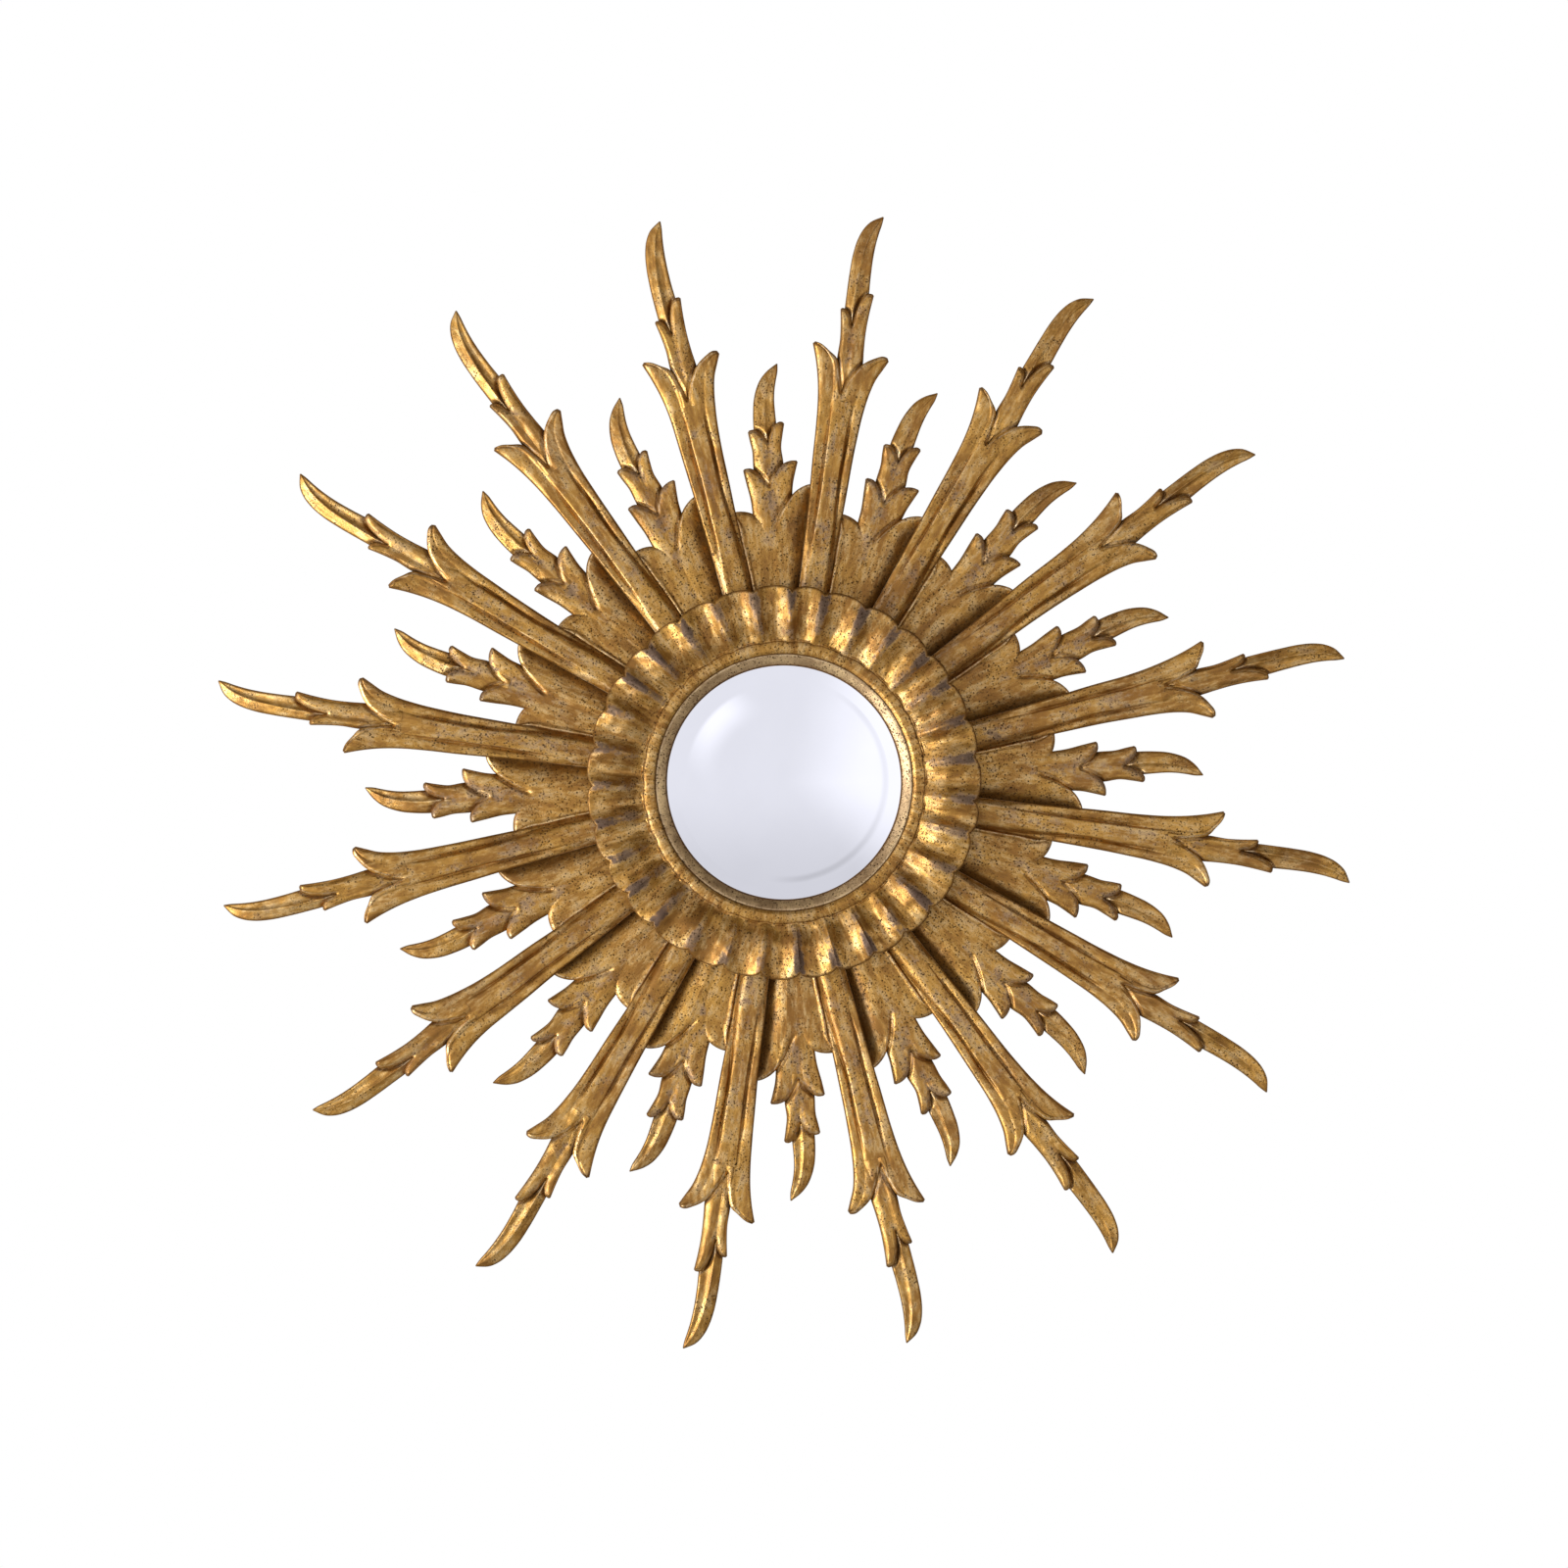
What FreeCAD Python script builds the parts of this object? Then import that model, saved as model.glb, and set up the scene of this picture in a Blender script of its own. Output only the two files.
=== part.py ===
import FreeCAD, Part
import math
import os

from FreeCAD import Vector

# A round convex wall mirror in a fluted ring, with long and short carved rays set in turn round it.
# The front faces -Y and +Z is up. The origin lies on the mirror's axis, in the plane of the wall.
# Pieces are shaped with the backboard's back face at Y = 0, then moved forwards by the bumpers' thickness.
# Angles run in degrees clockwise from the top, seen from the front.

# Clearances that all pieces share
FIT_GAP = 0.3
FINE_GAP = 0.1
CUT_OVERRUN = 2.0

# The pattern of the rays
RAY_PAIR_COUNT = 16
FIRST_LONG_RAY_ANGLE = 8.5

# Convex mirror glass
GLASS_RADIUS = 95.0
GLASS_THICKNESS = 3.0
GLASS_CURVE_RADIUS = 330.0

# Slip: the bevelled rim that holds the glass
SLIP_LIP_WIDTH = 1.4
SLIP_LIP_THICKNESS = 1.4
SLIP_FACE_WIDTH = 8.3
SLIP_BEVEL_RISE = 4.6
SLIP_FLANGE_WIDTH = 3.5
SLIP_SEAT_DEPTH = 6.3

# Fluted ring: a bead round the slip, a crown of flutes outside it and a skirt behind
BEAD_WIDTH = 11.0
BEAD_RISE = 2.4
BEAD_STANDOFF = 13.5
BEAD_LIP_THICKNESS = 3.2
SKIRT_WALL = 10.3
CROWN_WIDTH = 41.8
CROWN_CREST_HEIGHT = 28.0
FLUTE_COUNT = 31
FIRST_RIDGE_ANGLE = 1.7
FLUTE_DEPTH = 7.0
SCALLOP_DEPTH = 4.0
# Along the crown's width from the bead to the rim: (share of the width, share of the crest height)
CROWN_PROFILE_SHARES = [(0, 0.54), (0.12, 0.66), (0.3, 0.83), (0.52, 0.95), (0.76, 1), (0.92, 0.97), (1, 0.82)]
# Across a flute, from one ridge to the next
FLUTE_STATION_SHARES = [-1, -0.85, -0.55, 0, 0.55, 0.85, 1]
FLUTE_END_SHARE = 0.35
FLUTE_ROUNDNESS = 2.4
SCALLOP_ROUNDNESS = 3

# Backboard, and what closes it behind the glass
BACKBOARD_THICKNESS = 9.0
BACKBOARD_RIM_WIDTH = 34.0
BACKBOARD_LEDGE_WIDTH = 7.7
COVER_THICKNESS = 3.0
GASKET_THICKNESS = 1.5
GASKET_WIDTH = 9.0
SPACER_WALL = 10.0

# Long rays: a ribbed stem with two curled leaves, a sheath with two small leaves and a hooked flame
LONG_TIP_RADIUS = 459.0
LONG_LEAF_SPREAD = 63.5
LONG_ROOT_THICKNESS = 11.0
LONG_STEM_RISE = 5.5
LONG_SHEATH_THICKNESS = 10.5
LONG_SHEATH_RISE = 3.0
LONG_FLAME_THICKNESS = 10.0
TONGUE_WIDTH = 14.0

# Short rays: a base leaf of two lobes, a sheath and a bud with two small leaves each, and a hooked flame
SHORT_TIP_RADIUS = 336.0
SHORT_LEAF_SPREAD = 44.0
BASE_LEAF_THICKNESS = 8.0
SHORT_SHEATH_THICKNESS = 6.0
SHORT_SHEATH_RISE = 5.5
SHORT_BUD_THICKNESS = 6.5
SHORT_BUD_RISE = 4.0
SHORT_FLAME_THICKNESS = 8.0

# Outlines of the long ray: (share of the leaf spread, clockwise side positive; share of the tip radius)
LONG_STEM_ROOT_SHARES = (-0.16, 0.24)
LONG_STEM_SHARES = {
    "left": [(-0.172, 0.34), (-0.209, 0.45), (-0.247, 0.56), (-0.265, 0.622), (-0.292, 0.668),
             (-0.332, 0.7035), (-0.386, 0.734), (-0.462, 0.766)],
    "left_notch": [(-0.344, 0.762), (-0.221, 0.751), (-0.135, 0.7425), (-0.074, 0.722), (-0.012, 0.685)],
    "right_notch": [(0.037, 0.7), (0.111, 0.7205), (0.209, 0.7375), (0.344, 0.75), (0.442, 0.7555),
                    (0.536, 0.753)],
    "right": [(0.466, 0.734), (0.394, 0.714), (0.344, 0.69), (0.301, 0.654), (0.275, 0.6015), (0.253, 0.51),
              (0.24, 0.34)],
}
LONG_SHEATH_FOOT_SHARE = 0.671
LONG_SHEATH_ROOT_SHARES = (-0.117, 0.197)
LONG_SHEATH_SHARES = {
    "left": [(-0.125, 0.7475), (-0.122, 0.775), (-0.14, 0.8), (-0.173, 0.83)],
    "left_notch": [(-0.104, 0.8285), (-0.043, 0.819), (0, 0.802)],
    "right_notch": [(0.025, 0.8275), (0.074, 0.848), (0.135, 0.86), (0.221, 0.861)],
    "right": [(0.199, 0.8325), (0.186, 0.795), (0.193, 0.765), (0.209, 0.734)],
}
# Stations of a flame: (share of the tip radius; left edge, ridge and right edge as shares of the leaf spread;
# share of the thickness)
LONG_FLAME_SHARES = [
    (0.79, -0.111, 0, 0.16, 1), (0.85, -0.123, 0, 0.16, 0.98), (0.892, -0.124, 0.007, 0.147, 0.94),
    (0.926, -0.112, 0.025, 0.147, 0.88), (0.9515, -0.08, 0.055, 0.16, 0.8),
    (0.97, -0.032, 0.098, 0.179, 0.72), (0.9855, 0.044, 0.147, 0.211, 0.64),
    (1, 0.194, 0.209, 0.224, 0.56),
]

# Outlines of the short ray, in shares of its own spread and tip radius
SHORT_LOBE_LEFT_SHARES = [(-1.5, 0.58), (-1.06, 0.627), (-0.637, 0.646), (-0.372, 0.642), (-0.212, 0.6295),
                          (-0.088, 0.612), (0, 0.592)]
SHORT_LOBE_RIGHT_SHARES = [(0, 0.592), (0.159, 0.6365), (0.336, 0.6725), (0.531, 0.6945), (0.743, 0.704),
                           (0.956, 0.699), (1.24, 0.669), (1.6, 0.6)]
SHORT_SHEATH_FOOT_SHARE = 0.56
SHORT_SHEATH_ROOT_SHARES = (-0.319, 0.354)
SHORT_SHEATH_SHARES = {
    "left": [(-0.327, 0.632), (-0.356, 0.6735), (-0.418, 0.713), (-0.469, 0.747)],
    "left_notch": [(-0.327, 0.748), (-0.159, 0.733), (0, 0.706)],
    "right_notch": [(0.106, 0.733), (0.248, 0.755), (0.389, 0.762), (0.536, 0.762)],
    "right": [(0.478, 0.735), (0.428, 0.7085), (0.398, 0.6735), (0.372, 0.632)],
}
SHORT_BUD_FOOT_SHARE = 0.692
SHORT_BUD_ROOT_SHARES = (-0.265, 0.265)
SHORT_BUD_SHARES = {
    "left": [(-0.28, 0.755), (-0.29, 0.792), (-0.326, 0.815), (-0.356, 0.8385)],
    "left_notch": [(-0.221, 0.8405), (-0.088, 0.828), (0, 0.8105)],
    "right_notch": [(0.062, 0.833), (0.15, 0.851), (0.23, 0.857), (0.322, 0.855)],
    "right": [(0.276, 0.827), (0.241, 0.7965), (0.269, 0.762)],
}
SHORT_FLAME_SHARES = [
    (0.79, -0.221, -0.018, 0.17, 1), (0.848, -0.246, -0.027, 0.175, 0.98),
    (0.8825, -0.232, -0.018, 0.168, 0.94), (0.913, -0.202, 0.009, 0.17, 0.88),
    (0.9385, -0.147, 0.044, 0.191, 0.8), (0.9595, -0.074, 0.097, 0.223, 0.72),
    (0.978, 0.039, 0.168, 0.271, 0.64), (1, 0.241, 0.265, 0.283, 0.56),
]
FLAME_EDGE_SHARE = 0.62

# Relief across a ray: (share of the leaf spread, share of the thickness)
STEM_SECTION_SHARES = [(-0.7, 0.92), (-0.27, 0.84), (-0.115, 0.7), (-0.085, 1), (0.11, 1), (0.14, 0.7),
                       (0.28, 0.84), (0.7, 0.92)]
LONG_SHEATH_SECTION_SHARES = [(-0.7, 0.5), (-0.14, 0.74), (-0.065, 1), (0, 0.8), (0.09, 1), (0.19, 0.74),
                              (0.7, 0.5)]
BASE_LEAF_SECTION_SHARES = [(-2, 1), (-0.12, 1), (0.03, 0.84), (0.2, 1), (2, 1)]
SHORT_SHEATH_SECTION_SHARES = [(-0.7, 0.6), (-0.33, 0.78), (-0.16, 1), (0, 0.8), (0.18, 1), (0.38, 0.78),
                               (0.7, 0.6)]
SHORT_BUD_SECTION_SHARES = [(-0.7, 0.5), (-0.27, 0.76), (-0.13, 1), (0, 0.8), (0.12, 1), (0.26, 0.76),
                            (0.7, 0.5)]

# Countersunk wood screws, driven from behind
SCREW_SHANK_RADIUS = 1.9
SCREW_HEAD_RADIUS = 3.8
SCREW_HEAD_DEPTH = 2.4
SCREW_POINT_LENGTH = 3.0
SCREW_SLOT_LENGTH = 4.6
SCREW_SLOT_WIDTH = 0.9
SCREW_SLOT_DEPTH = 1.3
SCREW_BITE_SHARE = 0.72
RAY_SCREW_SHARES = (0.24, 0.8)
RING_SCREW_COUNT = 8
FIRST_RING_SCREW_ANGLE = 22.5

# Turn buttons that hold the back cover, each on a pan-head screw
BUTTON_COUNT = 4
FIRST_BUTTON_ANGLE = 45.0
BUTTON_PIVOT_INSET = 10.0
BUTTON_REACH = 22.0
BUTTON_PIVOT_END_RADIUS = 6.0
BUTTON_NOSE_RADIUS = 4.2
BUTTON_THICKNESS = 1.8
PAN_HEAD_RADIUS = 3.4
PAN_HEAD_HEIGHT = 1.7
PAN_SHANK_RADIUS = 1.7

# Hanger: a strap with a rolled eye, and the D-ring that swings in it
STRAP_WIDTH = 14.0
STRAP_LENGTH = 38.0
STRAP_THICKNESS = 1.2
STRAP_SCREW_SHARES = (0.22, 0.76)
HANGER_DROP = 4.3
HANGER_WIRE_RADIUS = 1.5
HANGER_BAR_OVERHANG = 1.5
HANGER_CORNER_RADIUS = 3.0

# Felt bumpers between the backboard and the wall
BUMPER_COUNT = 4
BUMPER_RADIUS = 8.0
BUMPER_THICKNESS = 7.0
BUMPER_PLACE_SHARE = 0.58

ORIGIN = Vector(0, 0, 0)
AXIS = Vector(0, 1, 0)
RIGHT = Vector(1, 0, 0)
UP = Vector(0, 0, 1)
FULL_TURN = 360
HALF_TURN = 180
QUARTER_TURN = 90

# Radii from the mirror's axis outwards
sight_radius = GLASS_RADIUS - SLIP_LIP_WIDTH
slip_face_radius = sight_radius + SLIP_FACE_WIDTH
slip_flange_radius = slip_face_radius + SLIP_FLANGE_WIDTH
bead_inner_radius = slip_face_radius + FIT_GAP
crown_inner_radius = bead_inner_radius + BEAD_WIDTH
crown_outer_radius = crown_inner_radius + CROWN_WIDTH
skirt_inner_radius = slip_flange_radius + FIT_GAP
skirt_outer_radius = skirt_inner_radius + SKIRT_WALL
ray_root_radius = skirt_outer_radius + FIT_GAP
backboard_radius = ray_root_radius + BACKBOARD_RIM_WIDTH
backboard_bore_radius = skirt_inner_radius - BACKBOARD_LEDGE_WIDTH
cover_radius = backboard_bore_radius - FIT_GAP
ray_screw_radii = [ray_root_radius + share * BACKBOARD_RIM_WIDTH for share in RAY_SCREW_SHARES]
ring_screw_radius = (skirt_inner_radius + skirt_outer_radius) / 2
button_pivot_radius = backboard_bore_radius + BUTTON_PIVOT_INSET

# Depths from the backboard's back face forwards, which is towards -Y
backboard_front = -BACKBOARD_THICKNESS
long_ray_back = backboard_front - BASE_LEAF_THICKNESS
ring_back = long_ray_back - LONG_ROOT_THICKNESS
bead_shoulder = ring_back - BEAD_STANDOFF
slip_shoulder = bead_shoulder + BEAD_LIP_THICKNESS
glass_seat = bead_shoulder + SLIP_SEAT_DEPTH


def glass_sag(radius):
    """How far the glass falls back from its crown at a distance from the axis."""
    return GLASS_CURVE_RADIUS - math.sqrt(GLASS_CURVE_RADIUS ** 2 - radius ** 2)


glass_crown = glass_seat + FINE_GAP - glass_sag(sight_radius)
glass_edge_back = glass_crown + glass_sag(GLASS_RADIUS) + GLASS_THICKNESS
gasket_front = glass_edge_back + FINE_GAP
gasket_back = gasket_front + GASKET_THICKNESS
slip_back = gasket_back - FIT_GAP

# Angles of the rays
ray_pitch = FULL_TURN / RAY_PAIR_COUNT
long_ray_angles = [FIRST_LONG_RAY_ANGLE + index * ray_pitch for index in range(RAY_PAIR_COUNT)]
short_ray_angles = [angle + ray_pitch / 2 for angle in long_ray_angles]


def spaced_angles(first, count):
    """Evenly spaced angles round the mirror."""
    return [first + index * FULL_TURN / count for index in range(count)]


def turned_to(shape, angle):
    """A copy of a shape made at the top, turned clockwise round the mirror's axis."""
    copy = shape.copy()
    copy.rotate(ORIGIN, AXIS, angle)
    return copy


def moved_to(shape, place):
    """A copy of a shape moved by a vector."""
    copy = shape.copy()
    copy.translate(place)
    return copy


def turned_solid(profile):
    """A solid spun about the mirror's axis from a closed outline of (radius, depth) points."""
    corners = [Vector(radius, depth, 0) for radius, depth in profile]
    face = Part.Face(Part.makePolygon(corners + corners[:1]))
    return face.revolve(ORIGIN, AXIS, FULL_TURN)


def curve_through(points):
    """One smooth edge through a list of points."""
    curve = Part.BSplineCurve()
    curve.interpolate(points)
    return curve.toShape()


# Screws and their holes
def countersunk_screw(length):
    """A screw along the axis, its head flush with the back face and its point forwards."""
    body = turned_solid([
        (0, 0),
        (SCREW_HEAD_RADIUS, 0),
        (SCREW_SHANK_RADIUS, -SCREW_HEAD_DEPTH),
        (SCREW_SHANK_RADIUS, SCREW_POINT_LENGTH - length),
        (0, -length),
    ])
    slot = Part.makeBox(SCREW_SLOT_LENGTH, SCREW_SLOT_DEPTH + CUT_OVERRUN, SCREW_SLOT_WIDTH,
                        Vector(-SCREW_SLOT_LENGTH / 2, -SCREW_SLOT_DEPTH, -SCREW_SLOT_WIDTH / 2))
    return body.cut([slot, turned_to(slot, QUARTER_TURN)])


def countersunk_hole(length):
    """The hole for a countersunk screw, one fine gap larger all round."""
    head = SCREW_HEAD_RADIUS + FINE_GAP
    shank = SCREW_SHANK_RADIUS + FINE_GAP
    return turned_solid([
        (0, CUT_OVERRUN),
        (head, CUT_OVERRUN),
        (head, 0),
        (shank, -SCREW_HEAD_DEPTH),
        (shank, -length),
        (0, -length - FINE_GAP),
    ])


def pan_head_screw(seat, length):
    """A round-headed screw whose head sits at a depth behind the back face."""
    return turned_solid([
        (0, seat + PAN_HEAD_HEIGHT),
        (PAN_HEAD_RADIUS / 2, seat + PAN_HEAD_HEIGHT),
        (PAN_HEAD_RADIUS, seat + PAN_HEAD_HEIGHT / 2),
        (PAN_HEAD_RADIUS, seat),
        (PAN_SHANK_RADIUS, seat),
        (PAN_SHANK_RADIUS, PAN_SHANK_RADIUS - length),
        (0, -length),
    ])


def pan_head_hole(length):
    """The blind hole for a round-headed screw."""
    radius = PAN_SHANK_RADIUS + FINE_GAP
    depth = length + FINE_GAP
    return Part.makeCylinder(radius, depth + CUT_OVERRUN, Vector(0, -depth, 0), AXIS)


def at_radius(shape, radius, angle):
    """A copy of a shape made on the axis, carried out to a radius and turned to an angle."""
    return turned_to(moved_to(shape, Vector(0, 0, radius)), angle)


long_ray_screw_length = BACKBOARD_THICKNESS + SCREW_BITE_SHARE * (BASE_LEAF_THICKNESS + LONG_ROOT_THICKNESS)
short_ray_screw_length = BACKBOARD_THICKNESS + SCREW_BITE_SHARE * BASE_LEAF_THICKNESS
ring_screw_length = BACKBOARD_THICKNESS + SCREW_BITE_SHARE * (backboard_front - slip_shoulder)
small_screw_length = BACKBOARD_THICKNESS * SCREW_BITE_SHARE

screw_groups = {
    "long": (long_ray_screw_length, ray_screw_radii, long_ray_angles),
    "short": (short_ray_screw_length, ray_screw_radii, short_ray_angles),
    "ring": (ring_screw_length, [ring_screw_radius], spaced_angles(FIRST_RING_SCREW_ANGLE, RING_SCREW_COUNT)),
}


def screw_set(group, maker):
    """Every screw, or every screw hole, of one group in its place."""
    length, radii, angles = screw_groups[group]
    shape = maker(length)
    return [at_radius(shape, radius, angle) for radius in radii for angle in angles]


# Carved rays, made pointing up, with +X on the clockwise side
def ray_point(shares, spread, tip_radius):
    """A point of a ray's outline from its shares."""
    return Vector(shares[0] * spread, 0, shares[1] * tip_radius)


def leaf_outline(shares, root_shares, foot, spread, tip_radius):
    """A closed outline with two leaf tips and a notch between them, cut square across at its foot."""
    left_root = Vector(root_shares[0] * spread, 0, foot)
    right_root = Vector(root_shares[1] * spread, 0, foot)
    sides = {name: [ray_point(pair, spread, tip_radius) for pair in pairs] for name, pairs in shares.items()}
    left = [left_root] + sides["left"]
    left_notch = left[-1:] + sides["left_notch"]
    right_notch = left_notch[-1:] + sides["right_notch"]
    right = right_notch[-1:] + sides["right"] + [right_root]
    edges = [curve_through(points) for points in (left, left_notch, right_notch, right)]
    edges.append(Part.makeLine(right_root, left_root))
    return Part.Face(Part.Wire(edges))


def relief_block(section_shares, spread, thickness, back, foot, top, rise):
    """A long block with the relief's section, which rises forwards evenly from the foot to the top."""
    slope = rise / (top - foot)
    start = foot - CUT_OVERRUN
    length = top - foot + CUT_OVERRUN + CUT_OVERRUN
    behind = back + rise + CUT_OVERRUN
    front = [Vector(across * spread, back - height * thickness + CUT_OVERRUN * slope, start)
             for across, height in section_shares]
    corners = [Vector(front[0].x, behind, start)] + front + [Vector(front[-1].x, behind, start)]
    face = Part.Face(Part.makePolygon(corners + corners[:1]))
    return face.extrude(Vector(0, -slope * length, length))


def carved_leaf(outline, block, back, depth):
    """The part of a relief block that lies within an outline, in front of the ray's back plane."""
    prism = outline.extrude(Vector(0, -depth, 0))
    return moved_to(prism, Vector(0, back, 0)).common(block)


def flame(stations, spread, tip_radius, thickness, back):
    """A hooked tip: five-sided sections with a ridge, carried smoothly up to the point."""
    sections = []
    for height_share, left, ridge, right, thick_share in stations:
        reach = height_share * tip_radius
        crest = back - thick_share * thickness
        edge = back - FLAME_EDGE_SHARE * thick_share * thickness
        corners = [
            Vector(left * spread, back, reach),
            Vector(left * spread, edge, reach),
            Vector(ridge * spread, crest, reach),
            Vector(right * spread, edge, reach),
            Vector(right * spread, back, reach),
        ]
        sections.append(Part.makePolygon(corners + corners[:1]))
    return Part.makeLoft(sections, True, False)


def highest(shares, tip_radius):
    """How far up a leaf's outline reaches."""
    return tip_radius * max(pair[1] for pairs in shares.values() for pair in pairs)


def sheath(shares, root_shares, foot_share, section_shares, spread, tip_radius, thickness, rise, back):
    """A two-leaved tier of a ray that comes out from behind the one below it."""
    foot = foot_share * tip_radius
    outline = leaf_outline(shares, root_shares, foot, spread, tip_radius)
    block = relief_block(section_shares, spread, thickness, back, foot, highest(shares, tip_radius), rise)
    return carved_leaf(outline, block, back, thickness + rise + CUT_OVERRUN)


def long_ray():
    """A long ray at the top, with the tongue that drops between two base leaves."""
    spread = LONG_LEAF_SPREAD
    tip = LONG_TIP_RADIUS
    back = long_ray_back
    outline = leaf_outline(LONG_STEM_SHARES, LONG_STEM_ROOT_SHARES, ray_root_radius, spread, tip)
    block = relief_block(STEM_SECTION_SHARES, spread, LONG_ROOT_THICKNESS, back, ray_root_radius,
                         highest(LONG_STEM_SHARES, tip), LONG_STEM_RISE)
    stem = carved_leaf(outline, block, back, LONG_ROOT_THICKNESS + LONG_STEM_RISE + CUT_OVERRUN)
    seat_depth = LONG_STEM_RISE + CUT_OVERRUN
    seat_front = Vector(0, ring_back - seat_depth, 0)
    ring_seat = Part.makeCylinder(crown_outer_radius + FIT_GAP, seat_depth, seat_front, AXIS)
    stem = stem.cut(ring_seat)
    upper = sheath(LONG_SHEATH_SHARES, LONG_SHEATH_ROOT_SHARES, LONG_SHEATH_FOOT_SHARE,
                   LONG_SHEATH_SECTION_SHARES, spread, tip, LONG_SHEATH_THICKNESS, LONG_SHEATH_RISE, back)
    point = flame(LONG_FLAME_SHARES, spread, tip, LONG_FLAME_THICKNESS, back)
    tongue = Part.makeBox(TONGUE_WIDTH, BASE_LEAF_THICKNESS, BACKBOARD_RIM_WIDTH,
                          Vector(-TONGUE_WIDTH / 2, back, ray_root_radius))
    ray = stem.fuse([upper, point, tongue])
    hole = countersunk_hole(long_ray_screw_length)
    return ray.cut([moved_to(hole, Vector(0, 0, radius)) for radius in ray_screw_radii])


def base_sector(back, depth):
    """The wedge between the tongues of two long rays."""
    half = math.radians(ray_pitch / 2)
    offset = TONGUE_WIDTH / 2 + FIT_GAP
    foot_run = (ray_root_radius - offset * math.sin(half)) / math.cos(half)
    corners = []
    for side, run in ((-1, foot_run), (-1, SHORT_TIP_RADIUS), (1, SHORT_TIP_RADIUS), (1, foot_run)):
        across = side * (run * math.sin(half) - offset * math.cos(half))
        corners.append(Vector(across, back, run * math.cos(half) + offset * math.sin(half)))
    return Part.Face(Part.makePolygon(corners + corners[:1])).extrude(Vector(0, -depth, 0))


def base_leaf(back):
    """The two-lobed leaf at the foot of a short ray, its sides tucked under the long rays."""
    spread = SHORT_LEAF_SPREAD
    tip = SHORT_TIP_RADIUS
    left = [ray_point(pair, spread, tip) for pair in SHORT_LOBE_LEFT_SHARES]
    right = [ray_point(pair, spread, tip) for pair in SHORT_LOBE_RIGHT_SHARES]
    left_root = Vector(left[0].x, 0, ray_root_radius)
    right_root = Vector(right[-1].x, 0, ray_root_radius)
    foot = Part.makePolygon([right[-1], right_root, left_root, left[0]])
    outline = Part.Face(Part.Wire([curve_through(left), curve_through(right)] + foot.Edges))
    top = tip * max(pair[1] for pair in SHORT_LOBE_RIGHT_SHARES)
    block = relief_block(BASE_LEAF_SECTION_SHARES, spread, BASE_LEAF_THICKNESS, back, ray_root_radius, top, 0)
    leaf = carved_leaf(outline, block, back, BASE_LEAF_THICKNESS + CUT_OVERRUN)
    return leaf.common(base_sector(back, BASE_LEAF_THICKNESS + CUT_OVERRUN))


def short_ray():
    """A short ray at the top."""
    spread = SHORT_LEAF_SPREAD
    tip = SHORT_TIP_RADIUS
    back = backboard_front
    lower = sheath(SHORT_SHEATH_SHARES, SHORT_SHEATH_ROOT_SHARES, SHORT_SHEATH_FOOT_SHARE,
                   SHORT_SHEATH_SECTION_SHARES, spread, tip, SHORT_SHEATH_THICKNESS, SHORT_SHEATH_RISE, back)
    bud = sheath(SHORT_BUD_SHARES, SHORT_BUD_ROOT_SHARES, SHORT_BUD_FOOT_SHARE, SHORT_BUD_SECTION_SHARES,
                 spread, tip, SHORT_BUD_THICKNESS, SHORT_BUD_RISE, back)
    point = flame(SHORT_FLAME_SHARES, spread, tip, SHORT_FLAME_THICKNESS, back)
    ray = base_leaf(back).fuse([lower, bud, point])
    hole = countersunk_hole(short_ray_screw_length)
    return ray.cut([moved_to(hole, Vector(0, 0, radius)) for radius in ray_screw_radii])


# The fluted ring
def crown_point(across, width_share, height_share):
    """A point of the crown: across runs from -1 to 1 between ridges, the shares from the bead to the rim.

    The flute sinks from its ridges by a rounded hollow, deepest half way out, and the rim is scalloped.
    """
    half_pitch = math.pi / FLUTE_COUNT
    hollow = FLUTE_DEPTH * (1 - abs(across) ** FLUTE_ROUNDNESS)
    hollow *= FLUTE_END_SHARE + (1 - FLUTE_END_SHARE) * math.sin(math.pi * width_share)
    width = CROWN_WIDTH - SCALLOP_DEPTH * abs(across) ** SCALLOP_ROUNDNESS
    radius = crown_inner_radius + width_share * width
    depth = ring_back - height_share * CROWN_CREST_HEIGHT + hollow
    return Vector(radius * math.sin(across * half_pitch), depth, radius * math.cos(across * half_pitch))


def dropped(curve):
    """A copy of a curve laid flat in the plane of the ring's back."""
    flat = curve.copy()
    for index, pole in enumerate(curve.getPoles(), start=1):
        flat.setPole(index, Vector(pole.x, ring_back, pole.z))
    return flat


def flute_faces():
    """The faces of one flute at the top: its hollow, its rim, its inner wall and its back."""
    surface = Part.BSplineSurface()
    surface.interpolate([[crown_point(across, width, height) for width, height in CROWN_PROFILE_SHARES]
                         for across in FLUTE_STATION_SHARES])
    first, last, inner, outer = surface.bounds()
    ends = [surface.vIso(inner), surface.vIso(outer)]
    flat_ends = [dropped(curve).toShape() for curve in ends]
    walls = [Part.makeRuledSurface(end.toShape(), flat) for end, flat in zip(ends, flat_ends)]
    sides = []
    for place in (first, last):
        inner_foot = surface.value(place, inner)
        outer_foot = surface.value(place, outer)
        inner_foot.y = ring_back
        outer_foot.y = ring_back
        sides.append(Part.makeLine(inner_foot, outer_foot))
    back = Part.Face(Part.Wire(Part.__sortEdges__(flat_ends + sides)))
    return [surface.toShape(), back] + walls


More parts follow.
